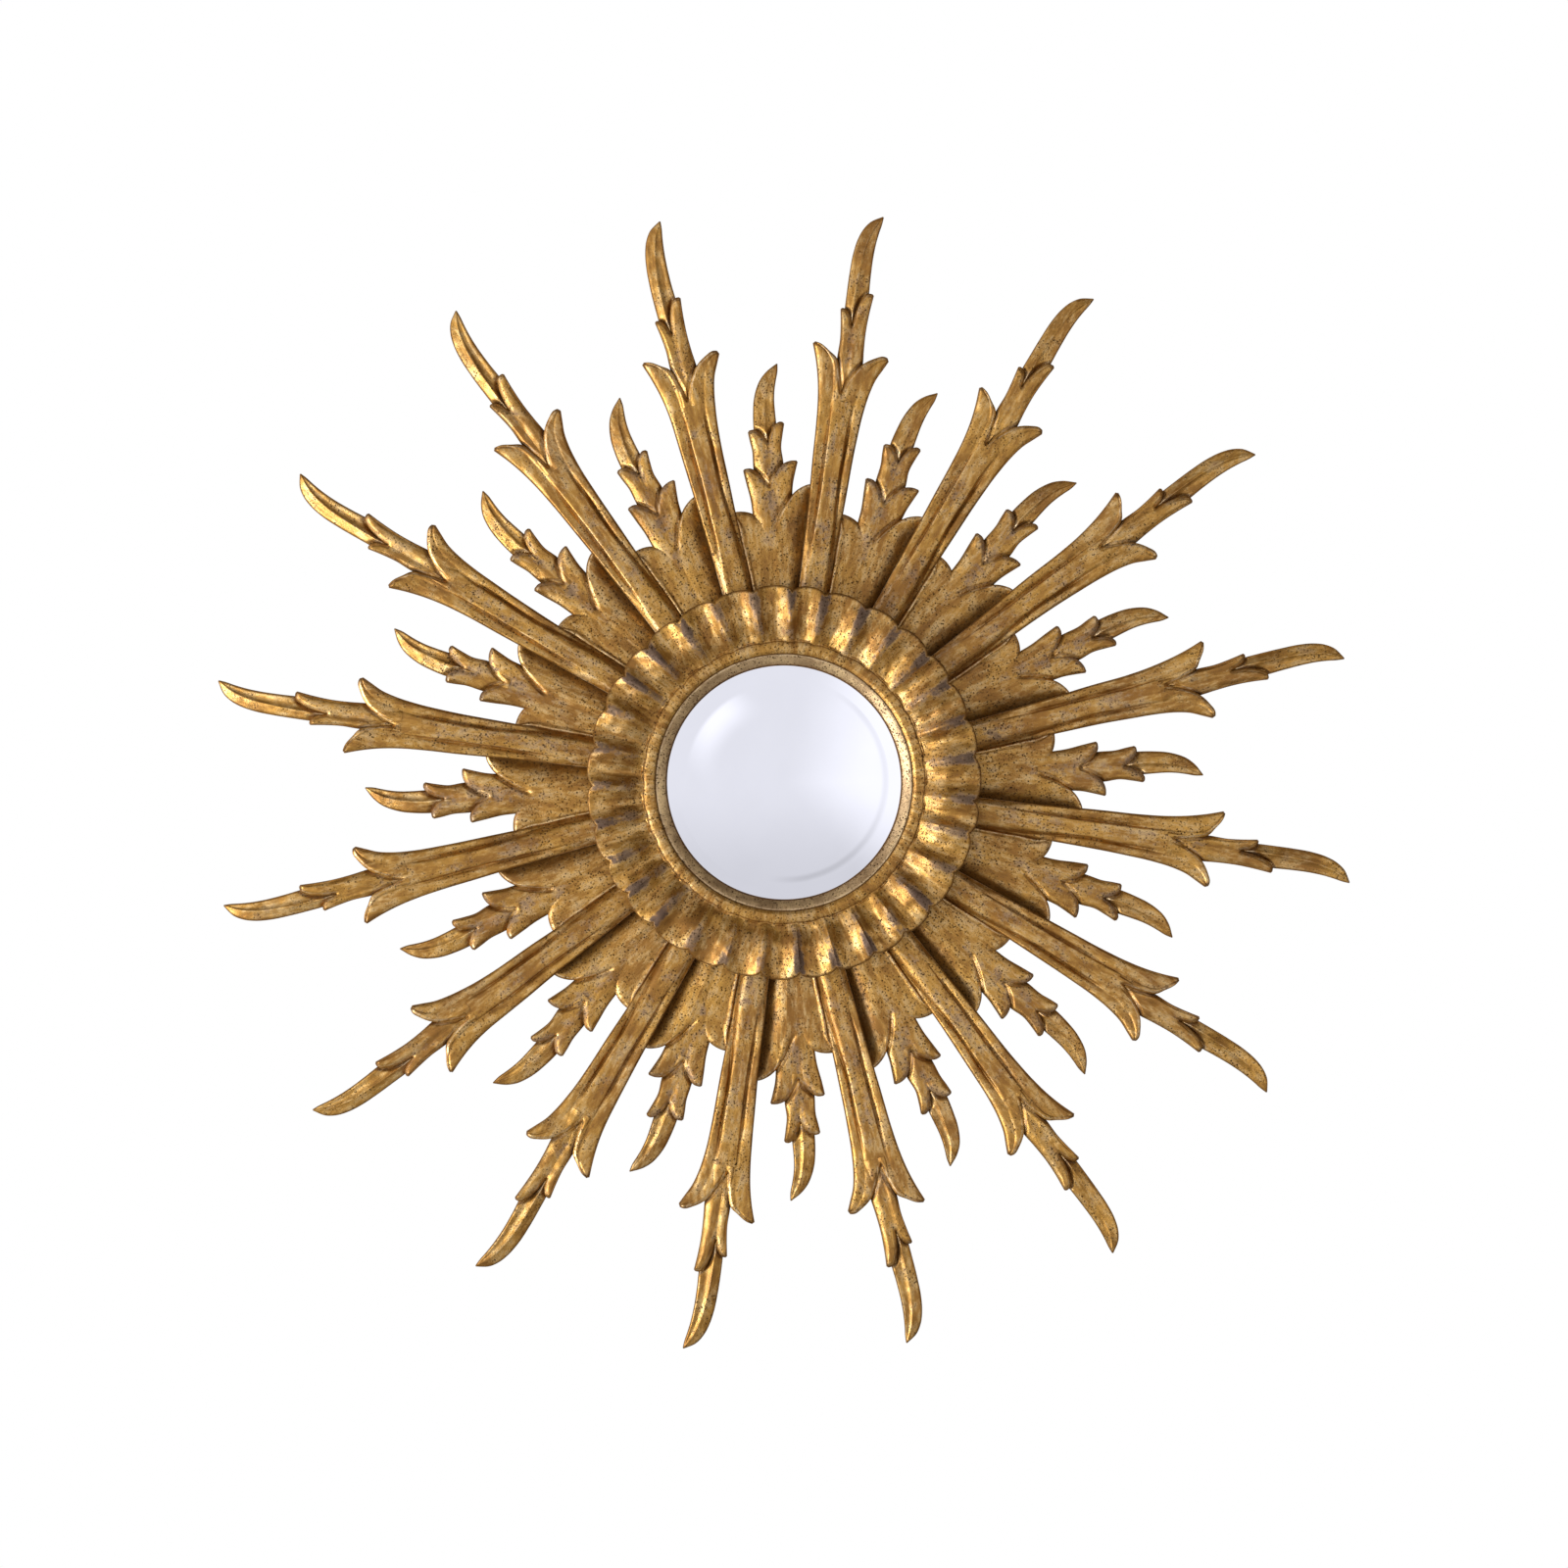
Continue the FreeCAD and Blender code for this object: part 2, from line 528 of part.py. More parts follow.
def fluted_ring():
    """The crown of flutes on a turned body that holds the bead in front and the skirt behind."""
    faces = flute_faces()
    angles = spaced_angles(FIRST_RIDGE_ANGLE + HALF_TURN / FLUTE_COUNT, FLUTE_COUNT)
    shell = Part.makeShell([turned_to(face, angle) for angle in angles for face in faces])
    shell.sewShape()
    crown = Part.makeSolid(shell)
    bead_middle = (bead_inner_radius + crown_inner_radius) / 2
    bead_crest = bead_shoulder - BEAD_RISE
    overlap = crown_inner_radius + FIT_GAP
    lip_back = [Vector(bead_inner_radius, bead_shoulder, 0), Vector(bead_inner_radius, slip_shoulder, 0),
                Vector(skirt_inner_radius, slip_shoulder, 0), Vector(skirt_inner_radius, backboard_front, 0),
                Vector(skirt_outer_radius, backboard_front, 0), Vector(skirt_outer_radius, ring_back, 0)]
    lapped_back = ring_back - FIT_GAP
    shoulder_back = [Vector(skirt_outer_radius, lapped_back, 0), Vector(overlap, lapped_back, 0),
                     Vector(overlap, bead_shoulder, 0)]
    outline = Part.makePolygon(lip_back + shoulder_back).Edges
    arc = Part.Arc(shoulder_back[-1], Vector(bead_middle, bead_crest, 0), lip_back[0]).toShape()
    body = Part.Face(Part.Wire(outline + [arc])).revolve(ORIGIN, AXIS, FULL_TURN)
    ring = crown.fuse(body)
    return ring.cut(screw_set("ring", countersunk_hole))


# The glass and what holds it
def mirror_glass():
    """A round cap of even thickness, domed towards the front."""
    edge_front = glass_crown + glass_sag(GLASS_RADIUS)
    half_radius = GLASS_RADIUS / 2
    half_front = glass_crown + glass_sag(half_radius)
    back_shift = Vector(0, GLASS_THICKNESS, 0)
    front = [Vector(0, glass_crown, 0), Vector(half_radius, half_front, 0),
             Vector(GLASS_RADIUS, edge_front, 0)]
    back = [point + back_shift for point in front]
    edges = [
        Part.Arc(*front).toShape(),
        Part.makeLine(front[-1], back[-1]),
        Part.Arc(*reversed(back)).toShape(),
        Part.makeLine(back[0], front[0]),
    ]
    return Part.Face(Part.Wire(edges)).revolve(ORIGIN, AXIS, FULL_TURN)


def slip_ring():
    """The bevelled rim: its lip laps the edge of the glass and its flange sits behind the bead."""
    lip_front = glass_seat - SLIP_LIP_THICKNESS
    rabbet_radius = GLASS_RADIUS + FIT_GAP
    return turned_solid([
        (sight_radius, glass_seat),
        (sight_radius, lip_front),
        (slip_face_radius, lip_front - SLIP_BEVEL_RISE),
        (slip_face_radius, slip_shoulder),
        (slip_flange_radius, slip_shoulder),
        (slip_flange_radius, slip_back),
        (rabbet_radius, slip_back),
        (rabbet_radius, glass_seat),
    ])


def flat_ring(inner_radius, outer_radius, front, back):
    """A plain ring between two depths."""
    corners = [(inner_radius, front), (outer_radius, front), (outer_radius, back), (inner_radius, back)]
    return turned_solid(corners)


def back_cover():
    """The disc that closes the hole behind the glass, flush with the backboard."""
    return turned_solid([(0, -COVER_THICKNESS), (cover_radius, -COVER_THICKNESS), (cover_radius, 0), (0, 0)])


# Turn buttons
def turn_button():
    """A tapered plate on its pivot at the top, with its nose over the cover."""
    lean = math.asin((BUTTON_PIVOT_END_RADIUS - BUTTON_NOSE_RADIUS) / BUTTON_REACH)
    pivot = Vector(0, FIT_GAP, button_pivot_radius)
    nose = pivot - Vector(0, 0, BUTTON_REACH)

    def rim(centre, radius, side):
        return centre + Vector(side * radius * math.cos(lean), 0, -radius * math.sin(lean))

    pivot_right = rim(pivot, BUTTON_PIVOT_END_RADIUS, 1)
    pivot_left = rim(pivot, BUTTON_PIVOT_END_RADIUS, -1)
    nose_right = rim(nose, BUTTON_NOSE_RADIUS, 1)
    nose_left = rim(nose, BUTTON_NOSE_RADIUS, -1)
    edges = [
        Part.Arc(pivot_left, pivot + Vector(0, 0, BUTTON_PIVOT_END_RADIUS), pivot_right).toShape(),
        Part.makeLine(pivot_right, nose_right),
        Part.Arc(nose_right, nose - Vector(0, 0, BUTTON_NOSE_RADIUS), nose_left).toShape(),
        Part.makeLine(nose_left, pivot_left),
    ]
    plate = Part.Face(Part.Wire(edges)).extrude(Vector(0, BUTTON_THICKNESS, 0))
    hole = pan_head_hole(small_screw_length)
    return plate.cut(moved_to(hole, Vector(0, CUT_OVERRUN, button_pivot_radius)))


button_angles = spaced_angles(FIRST_BUTTON_ANGLE, BUTTON_COUNT)
button_screw_seat = FIT_GAP + BUTTON_THICKNESS + FINE_GAP


# Hanger, with its eye's axis along X
eye_bore_radius = HANGER_WIRE_RADIUS + FIT_GAP
eye_radius = eye_bore_radius + STRAP_THICKNESS
eye_centre = Vector(0, eye_radius, backboard_radius - HANGER_DROP)
strap_screw_heights = [eye_centre.z - share * STRAP_LENGTH for share in STRAP_SCREW_SHARES]
# At rest the ring leans forwards until its wire is one gap short of the backboard's upper edge
edge_distance = math.hypot(eye_radius, HANGER_DROP)
edge_angle = math.atan2(HANGER_DROP, eye_radius)
hanger_lean = math.acos((HANGER_WIRE_RADIUS + FIT_GAP) / edge_distance) - edge_angle


def hanger_strap():
    """A strap on the backboard, rolled into an eye at its upper end and rounded at its lower end."""
    half = STRAP_WIDTH / 2
    foot = eye_centre.z - STRAP_LENGTH + half
    plate = Part.makeBox(STRAP_WIDTH, STRAP_THICKNESS, eye_centre.z - foot, Vector(-half, 0, foot))
    end = Part.makeCylinder(half, STRAP_THICKNESS, Vector(0, 0, foot), AXIS)
    eye_end = eye_centre - Vector(half, 0, 0)
    eye = Part.makeCylinder(eye_radius, STRAP_WIDTH, eye_end, RIGHT)
    bore = Part.makeCylinder(eye_bore_radius, STRAP_WIDTH, eye_end, RIGHT)
    hole = Part.makeCylinder(PAN_SHANK_RADIUS + FINE_GAP, STRAP_THICKNESS + CUT_OVERRUN, ORIGIN, AXIS)
    holes = [moved_to(hole, Vector(0, 0, height)) for height in strap_screw_heights]
    return plate.fuse([end, eye]).cut([bore] + holes)


def hanger_ring():
    """A D of round wire: a bar through the eye, two corners and a half-round bow."""
    half_bar = STRAP_WIDTH / 2 + HANGER_BAR_OVERHANG
    bow_radius = half_bar + HANGER_CORNER_RADIUS
    bend_axis = Vector(0, -1, 0)

    def bent(start, direction, centre, angle):
        disc = Part.Face(Part.Wire(Part.makeCircle(HANGER_WIRE_RADIUS, start, direction)))
        return disc.revolve(centre, bend_axis, angle)

    bar = Part.makeCylinder(HANGER_WIRE_RADIUS, half_bar + half_bar, Vector(-half_bar, 0, 0), RIGHT)
    rise = Vector(0, 0, HANGER_CORNER_RADIUS)
    right_corner = bent(Vector(half_bar, 0, 0), RIGHT, Vector(half_bar, 0, 0) + rise, QUARTER_TURN)
    bow = bent(Vector(bow_radius, 0, 0) + rise, UP, rise, HALF_TURN)
    left_corner = bent(Vector(-bow_radius, 0, 0) + rise, UP, Vector(-half_bar, 0, 0) + rise, QUARTER_TURN)
    ring = bar.fuse([right_corner, bow, left_corner])
    ring.rotate(ORIGIN, RIGHT, math.degrees(hanger_lean))
    return moved_to(ring, eye_centre)


def hanger_screws():
    """The two screws through the strap."""
    screw = pan_head_screw(STRAP_THICKNESS + FINE_GAP, small_screw_length)
    return [moved_to(screw, Vector(0, 0, height)) for height in strap_screw_heights]


def wall_bumpers():
    """Felt pads on the backboard, half way between two lines of ray screws."""
    pad = Part.makeCylinder(BUMPER_RADIUS, BUMPER_THICKNESS, ORIGIN, AXIS)
    radius = ray_root_radius + BUMPER_PLACE_SHARE * BACKBOARD_RIM_WIDTH
    first = FIRST_LONG_RAY_ANGLE + ray_pitch / 2 + ray_pitch / 4
    return [at_radius(pad, radius, angle) for angle in spaced_angles(first, BUMPER_COUNT)]


def backboard():
    """A ring of board with a hole for every screw."""
    board = flat_ring(backboard_bore_radius, backboard_radius, backboard_front, 0)
    holes = [hole for group in screw_groups for hole in screw_set(group, countersunk_hole)]
    small_hole = pan_head_hole(small_screw_length)
    holes += [at_radius(small_hole, button_pivot_radius, angle) for angle in button_angles]
    holes += [moved_to(small_hole, Vector(0, 0, height)) for height in strap_screw_heights]
    return board.cut(holes)


def build_nodes():
    """Every piece of the mirror by its name."""
    nodes = {
        "backboard": backboard(),
        "fluted_ring": fluted_ring(),
        "slip_ring": slip_ring(),
        "mirror_glass": mirror_glass(),
        "glass_gasket": flat_ring(GLASS_RADIUS - GASKET_WIDTH, GLASS_RADIUS, gasket_front, gasket_back),
        "glass_spacer": flat_ring(cover_radius - SPACER_WALL, cover_radius, gasket_back, -COVER_THICKNESS),
        "back_cover": back_cover(),
        "hanger_strap": hanger_strap(),
        "hanger_ring": hanger_ring(),
        "hanger_screws": Part.makeCompound(hanger_screws()),
        "wall_bumpers": Part.makeCompound(wall_bumpers()),
        "ray_screws": Part.makeCompound(
            screw_set("long", countersunk_screw) + screw_set("short", countersunk_screw)),
        "ring_screws": Part.makeCompound(screw_set("ring", countersunk_screw)),
    }
    button = turn_button()
    button_screw = pan_head_screw(button_screw_seat, small_screw_length)
    for number, angle in enumerate(button_angles, start=1):
        nodes[f"turn_button_{number}"] = turned_to(button, angle)
    nodes["turn_button_screws"] = Part.makeCompound(
        [at_radius(button_screw, button_pivot_radius, angle) for angle in button_angles])
    rays = {"long_ray": (long_ray(), long_ray_angles), "short_ray": (short_ray(), short_ray_angles)}
    for name, (ray, angles) in rays.items():
        for number, angle in enumerate(angles, start=1):
            nodes[f"{name}_{number:02d}"] = turned_to(ray, angle)
    return nodes


os.makedirs("parts", exist_ok=True)
off_the_wall = Vector(0, -BUMPER_THICKNESS, 0)
for name, shape in build_nodes().items():
    state = "valid" if shape.isValid() else "NOT VALID"
    print(name, state, "solids", len(shape.Solids), "volume", round(shape.Volume))
    moved_to(shape, off_the_wall).exportStep(f"parts/{name}.step")
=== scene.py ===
import math

import bmesh
import bpy
import numpy as np
from bpy.props import FloatProperty, FloatVectorProperty, IntProperty, PointerProperty
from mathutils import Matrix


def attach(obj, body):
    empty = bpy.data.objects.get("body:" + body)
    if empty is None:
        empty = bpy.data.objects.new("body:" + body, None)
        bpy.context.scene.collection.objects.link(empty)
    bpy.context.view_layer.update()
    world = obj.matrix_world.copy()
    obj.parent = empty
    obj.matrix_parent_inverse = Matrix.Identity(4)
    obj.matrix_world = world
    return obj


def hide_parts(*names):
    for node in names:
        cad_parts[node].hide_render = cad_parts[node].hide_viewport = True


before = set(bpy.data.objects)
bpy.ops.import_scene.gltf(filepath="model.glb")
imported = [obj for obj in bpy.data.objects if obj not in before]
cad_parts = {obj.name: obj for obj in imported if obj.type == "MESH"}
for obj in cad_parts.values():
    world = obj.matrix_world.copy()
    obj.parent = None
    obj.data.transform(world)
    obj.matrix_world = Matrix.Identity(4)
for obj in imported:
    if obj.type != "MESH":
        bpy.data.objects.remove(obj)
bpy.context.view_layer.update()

bl_info = {
    "name": "Starburst Mirror",
    "version": (1, 0, 0),
    "blender": (4, 5, 0),
    "location": "3D View > Sidebar > Starburst Mirror",
    "description": "Carves and gilds the rays, ring, slip and glass of a starburst wall mirror around its CAD frame",
    "category": "Object",
}

# Lengths in the shape functions are in millimetres, and become metres when a mesh is made
MM = 0.001
MAIN_BODY = "mirror"
# Points closer than this and edges shorter than this are merged, in metres
MERGE_DISTANCE, SLIVER = 2e-6, 1e-7
# A face looks backwards where its normal's y is above this
BACKWARDS = 0.9
# How much the brush marks of the gilding are drawn out along the rays and flutes
STROKE = 0.3

# The pattern of the rays, as the part's source has it: angles run clockwise from the top
RAY_PAIRS = 16
RAY_PITCH = 360 / RAY_PAIRS
FIRST_LONG_ANGLE = 8.5
FIRST_SHORT_ANGLE = FIRST_LONG_ANGLE + RAY_PITCH / 2
LONG_SPREAD, LONG_REACH, LONG_BACK = 63.5, 459.0, -24.0
SHORT_SPREAD, SHORT_REACH, SHORT_BACK = 44.0, 336.0, -16.0
RAY_ROOT = 116.3
RING_SEAT_RADIUS = 156.5
# The tongue under a long ray's root: width, length and depth, how far it runs into the ray, and its painted shade under
# the ray
TONGUE = (14.0, 34.0, 8.0)
TONGUE_SINK = 0.6
TONGUE_RELIEF = (0.6, 0.0, 0.0)

# How a leaf's rows crowd towards its tip, and the points across that blunt tip
TIP_CROWDING, TIP_POINTS = 1.35, 12
# Where a leaf is narrower than this, its section flattens to one level
NARROW_LEAF, FLAT_LEVEL = 6.0, 0.86
# Distance from its fork over which a notch sinks in, where a tier doesn't give its own
SHARP_FORK = 0.01
# How much deeper than a notch's chamfer the tier above slopes down to the notch
STEP_DEPTH = 1.4
# Darkening round an outline, on a tip, in a notch and at the step to the tier above, painted shade except on the tip:
# amount, and reach in millimetres
OUTLINE_SHADE, OUTLINE_REACH = 0.9, 1.0
TIP_DARKENING, TIP_REACH = 0.6, 3.5
NOTCH_SHADE, NOTCH_REACH = 0.75, 1.1
STEP_SHADE, STEP_REACH = 0.3, 0.4
# Share of an edge's relief, mostly painted shade, that is left at the foot of its wall
WALL_FOOT_SHADE = 0.3
# Leaf rubbed bright on the chamfers, partly a painted highlight: amount, then its middle and width as shares of the
# chamfer's width
NOTCH_RUB_AND_SHEEN, NOTCH_BAND = 0.6, (0.65, 0.3)
STEP_RUB_AND_SHEEN, STEP_BAND = 0.5, (0.5, 0.35)
# Height over the back at which a ray's ripples are whole, and how fast they and its sway grow outside the ring
RIPPLE_DEPTH, RIPPLE_START, SWAY_START = 4.0, 12, 4
# A tip stays inside the pattern's reach by this, and by this share of the ray's bend
TIP_ROOM, BEND_ROOM = 0.9, 0.6

# Places across half a tier: 0 at the outer edge, 1 on its crease, 2 on the middle line or the notch
ACROSS = np.array([0, 0.018, 0.045, 0.085, 0.14, 0.22, 0.33, 0.46, 0.6, 0.74, 0.86, 0.94, 1,
                   1.05, 1.11, 1.18, 1.27, 1.39, 1.53, 1.67, 1.79, 1.88, 1.94, 1.98, 2])

# Sections across half a tier: (place, level as a share of the thickness, hollow darkened by dirt and painted shade,
# rubbed crest brightened partly by a painted highlight and, where there is any, wear)
STEM_LEFT_SECTION = [(0, 0.82, 0.1, 0.2), (0.15, 0.9, 0, 0.35), (0.45, 0.88, 0.05, 0.1), (0.78, 0.82, 0.15, 0),
                     (0.93, 0.74, 0.4, 0), (1, 0.74, 0.5, 0), (1.06, 0.87, 0.2, 0.3), (1.15, 0.97, 0, 0.6),
                     (1.3, 1, 0, 0.1, 0.15), (1.65, 1, 0, 0, 0.32), (2, 0.985, 0.1, 0, 0.32)]
STEM_RIGHT_SECTION = [(0, 0.8, 0.1, 0.1), (0.25, 0.87, 0, 0.3), (0.6, 0.86, 0, 0.35), (0.86, 0.79, 0.25, 0),
                      (0.97, 0.71, 0.5, 0), (1.03, 0.71, 0.55, 0), (1.1, 0.85, 0.3, 0.1),
                      (1.2, 0.97, 0.05, 0.1, 0.15), (1.4, 1, 0, 0, 0.25), (2, 0.985, 0.1, 0, 0.25)]
ROOT_LEFT_SECTION = [(0, 0.68, 0.1, 1), (0.08, 0.74, 0, 0.7), (0.16, 0.73, 0.3, 0.1), (0.5, 0.83, 0, 0.45),
                     (1, 0.97, 0, 0.5), (1.3, 1.01, 0, 0.2, 0.1), (2, 1, 0, 0, 0.3)]
# The root's right side sinks beside the stem and is darkened there: painted shade
ROOT_RIGHT_SECTION = [(0, 0.42, 0.45, 0), (0.5, 0.46, 0.45, 0), (1, 0.56, 0.4, 0), (1.12, 0.7, 0.35, 0),
                      (1.3, 0.88, 0.2, 0, 0.1), (1.6, 0.98, 0, 0, 0.3), (2, 1, 0, 0, 0.3)]
LEAF_LEFT_SECTION = [(0, 0.84, 0.05, 0.1), (0.3, 0.92, 0, 0.2), (0.8, 0.95, 0.1, 0.05), (1, 0.93, 0.3, 0),
                     (1.15, 0.96, 0.05, 0.15), (1.5, 0.99, 0, 0.1, 0.15), (2, 1, 0, 0.1)]
LEAF_RIGHT_SECTION = [(0, 0.84, 0.05, 0.1), (0.3, 0.92, 0, 0.25), (0.8, 0.94, 0.1, 0.05), (1, 0.92, 0.3, 0),
                      (1.15, 0.95, 0.05, 0.1), (1.5, 0.98, 0, 0.1, 0.15), (2, 0.99, 0, 0.1)]
SHEATH_SECTION = [(0, 0.82, 0.1, 0), (0.3, 0.9, 0, 0.15), (0.75, 0.98, 0, 0.2), (1, 1, 0, 0.3),
                  (1.35, 0.99, 0, 0.1, 0.1), (1.75, 0.95, 0.2, 0, 0.2), (2, 0.93, 0.35, 0, 0.2)]
BUD_LEFT_SECTION = [(0, 0.8, 0.2, 0), (0.3, 0.88, 0.05, 0.05), (0.8, 0.97, 0, 0.15), (1.2, 1, 0, 0.45, 0.1),
                    (1.4, 1, 0, 0.4, 0.3), (1.7, 0.94, 0.05, 0, 0.5), (2, 0.9, 0.15, 0, 0.5)]
BUD_RIGHT_SECTION = [(0, 0.8, 0.25, 0), (0.25, 0.9, 0.05, 0.1), (0.6, 0.98, 0, 0.2), (1, 0.97, 0, 0.15, 0.1),
                     (1.4, 0.93, 0, 0, 0.35), (1.8, 0.89, 0.1, 0, 0.5), (2, 0.88, 0.15, 0, 0.5)]
ROOT_BUD_SECTION = [(0, 0.74, 0.2, 0), (0.4, 0.84, 0.1, 0), (1, 0.95, 0, 0.1, 0.1), (1.5, 1, 0, 0.2, 0.3),
                    (2, 1.01, 0, 0.1, 0.3)]
# The left lobe is rubbed bright along its crease, partly a painted highlight
LOBE_LEFT_SECTION = [(0, 0.6, 0.4, 0), (0.62, 0.64, 0.3, 0), (0.8, 0.99, 0, 0.4), (1, 1.1, 0, 0.6),
                     (1.05, 1.08, 0, 0.3), (1.1, 0.99, 0.45, 0), (1.22, 1, 0.1, 0), (1.5, 1.02, 0, 0.1),
                     (2, 0.96, 0, 0, 0.15)]
# The right lobe darkens towards the next ray's stem: painted shade
LOBE_RIGHT_SECTION = [(0, 0.42, 0.8, 0), (0.25, 0.5, 0.8, 0), (0.5, 0.76, 0.55, 0), (0.8, 0.94, 0.15, 0),
                      (1, 1, 0, 0.15), (1.4, 1, 0, 0.1), (2, 0.96, 0, 0, 0.15)]
FLAME_LEFT_SECTION = [(0, 0.72, 0.1, 0), (0.3, 0.78, 0, 0.05), (1, 0.88, 0, 0.1), (1.6, 0.96, 0, 0.2),
                      (1.9, 1, 0, 0.4), (2, 1, 0, 0.4)]
FLAME_RIGHT_SECTION = [(0, 0.83, 0.1, 0.1), (0.25, 0.9, 0, 0.3), (0.7, 0.88, 0, 0.15), (1.1, 0.85, 0.1, 0),
                       (1.5, 0.88, 0.15, 0), (1.85, 0.96, 0.05, 0.2), (2, 1, 0, 0.4)]

# Tiers of the rays, from the foot up: lines of (share of the leaf spread, share of the ray's reach).
# An edge and a crease run from the foot to the leaf's tip, the centre from the foot to the fork of the
# notch, and a notch from the fork to the tip. The tip stands in the edge alone and the fork in the centre alone.
# Heights are in millimetres above the ray's back. The thickness changes by the rise from a radius to the tip, and
# sections blend between two shares of the reach. Rows are those of the stem and the leaf. Blunt is cut off the tip,
# the edge drops where it rolls over, merge is the length over which a notch sinks in, and far names the notches that
# the next tier slopes down to, where it isn't both.
LONG_TIERS = [
    {
        "left": {
            "edge": [(-0.165, 0.2534), (-0.178, 0.34), (-0.209, 0.45), (-0.247, 0.56), (-0.265, 0.622),
                     (-0.292, 0.668), (-0.332, 0.7035), (-0.386, 0.734), (-0.462, 0.766)],
            "crease": [(-0.11, 0.2534), (-0.1105, 0.34), (-0.1055, 0.408), (-0.098, 0.51), (-0.104, 0.595),
                       (-0.117, 0.663), (-0.135, 0.7), (-0.172, 0.731), (-0.27, 0.751)],
            "notch": [(-0.074, 0.722), (-0.135, 0.7425), (-0.221, 0.751), (-0.344, 0.762)],
            "section": STEM_LEFT_SECTION, "root_section": ROOT_LEFT_SECTION, "leaf_section": LEAF_LEFT_SECTION,
        },
        "right": {
            "edge": [(0.2, 0.2534), (0.21, 0.34), (0.222, 0.43), (0.24, 0.51), (0.27, 0.6015), (0.301, 0.654),
                     (0.344, 0.69), (0.394, 0.714), (0.466, 0.734), (0.536, 0.753)],
            "crease": [(0.178, 0.2534), (0.182, 0.34), (0.184, 0.4), (0.165, 0.455), (0.128, 0.515), (0.147, 0.595),
                       (0.172, 0.663), (0.221, 0.7), (0.295, 0.727), (0.405, 0.744)],
            "notch": [(0.037, 0.7), (0.111, 0.7205), (0.209, 0.7375), (0.344, 0.75), (0.442, 0.7555)],
            "section": STEM_RIGHT_SECTION, "root_section": ROOT_RIGHT_SECTION, "leaf_section": LEAF_RIGHT_SECTION,
            "root_from": (0.53, 0.42),
        },
        "centre": [(0.03, 0.2534), (0.022, 0.4), (0.01, 0.55), (-0.012, 0.685)],
        "thickness": 10.8, "rise": 5.7, "rise_from": RING_SEAT_RADIUS, "leaf_from": (0.585, 0.685),
        "root_from": (0.47, 0.37), "tongue": True, "rows": (66, 36), "back": 0.0, "edge_drop": 2.6, "blunt": 2.2,
    },
    {
        "left": {
            "edge": [(-0.117, 0.671), (-0.125, 0.7475), (-0.122, 0.775), (-0.14, 0.8), (-0.173, 0.83)],
            "crease": [(-0.068, 0.671), (-0.075, 0.775), (-0.095, 0.8)],
            "notch": [(-0.043, 0.819), (-0.104, 0.8285)],
            "section": SHEATH_SECTION,
        },
        "right": {
            "edge": [(0.197, 0.671), (0.209, 0.734), (0.193, 0.765), (0.186, 0.795), (0.199, 0.8325), (0.221, 0.861)],
            "crease": [(0.09, 0.671), (0.095, 0.765), (0.11, 0.8), (0.15, 0.84)],
            "notch": [(0.025, 0.8275), (0.074, 0.848), (0.135, 0.86)],
            "section": SHEATH_SECTION,
        },
        "centre": [(0.01, 0.671), (0.008, 0.74), (0, 0.802)],
        "thickness": 16.2, "rise": -0.4, "rise_from": 308.0,
        "rows": (60, 24), "back": 0.4, "edge_drop": 2.2, "blunt": 1.2,
    },
    {
        "left": {
            "edge": [(-0.111, 0.79), (-0.123, 0.85), (-0.124, 0.892), (-0.112, 0.926), (-0.08, 0.9515),
                     (-0.032, 0.97), (0.044, 0.9855), (0.21, 1)],
            "crease": [(-0.06, 0.79), (-0.066, 0.85), (-0.06, 0.9), (-0.02, 0.943), (0.05, 0.973)],
            "section": FLAME_LEFT_SECTION,
        },
        "right": {
            "edge": [(0.16, 0.79), (0.16, 0.85), (0.147, 0.892), (0.147, 0.926), (0.16, 0.9515), (0.179, 0.97),
                     (0.2, 0.9855), (0.21, 1)],
            "crease": [(0.075, 0.79), (0.075, 0.85), (0.077, 0.9), (0.096, 0.943), (0.14, 0.972)],
            "section": FLAME_RIGHT_SECTION,
        },
        "centre": [(-0.012, 0.79), (-0.012, 0.85), (0, 0.9), (0.037, 0.943), (0.098, 0.972), (0.21, 1)],
        "thickness": 15.0, "rise": -8.6, "rise_from": 370.0,
        "rows": (80, 0), "back": 0.8, "edge_drop": 2.0, "blunt": 1.0,
    },
]
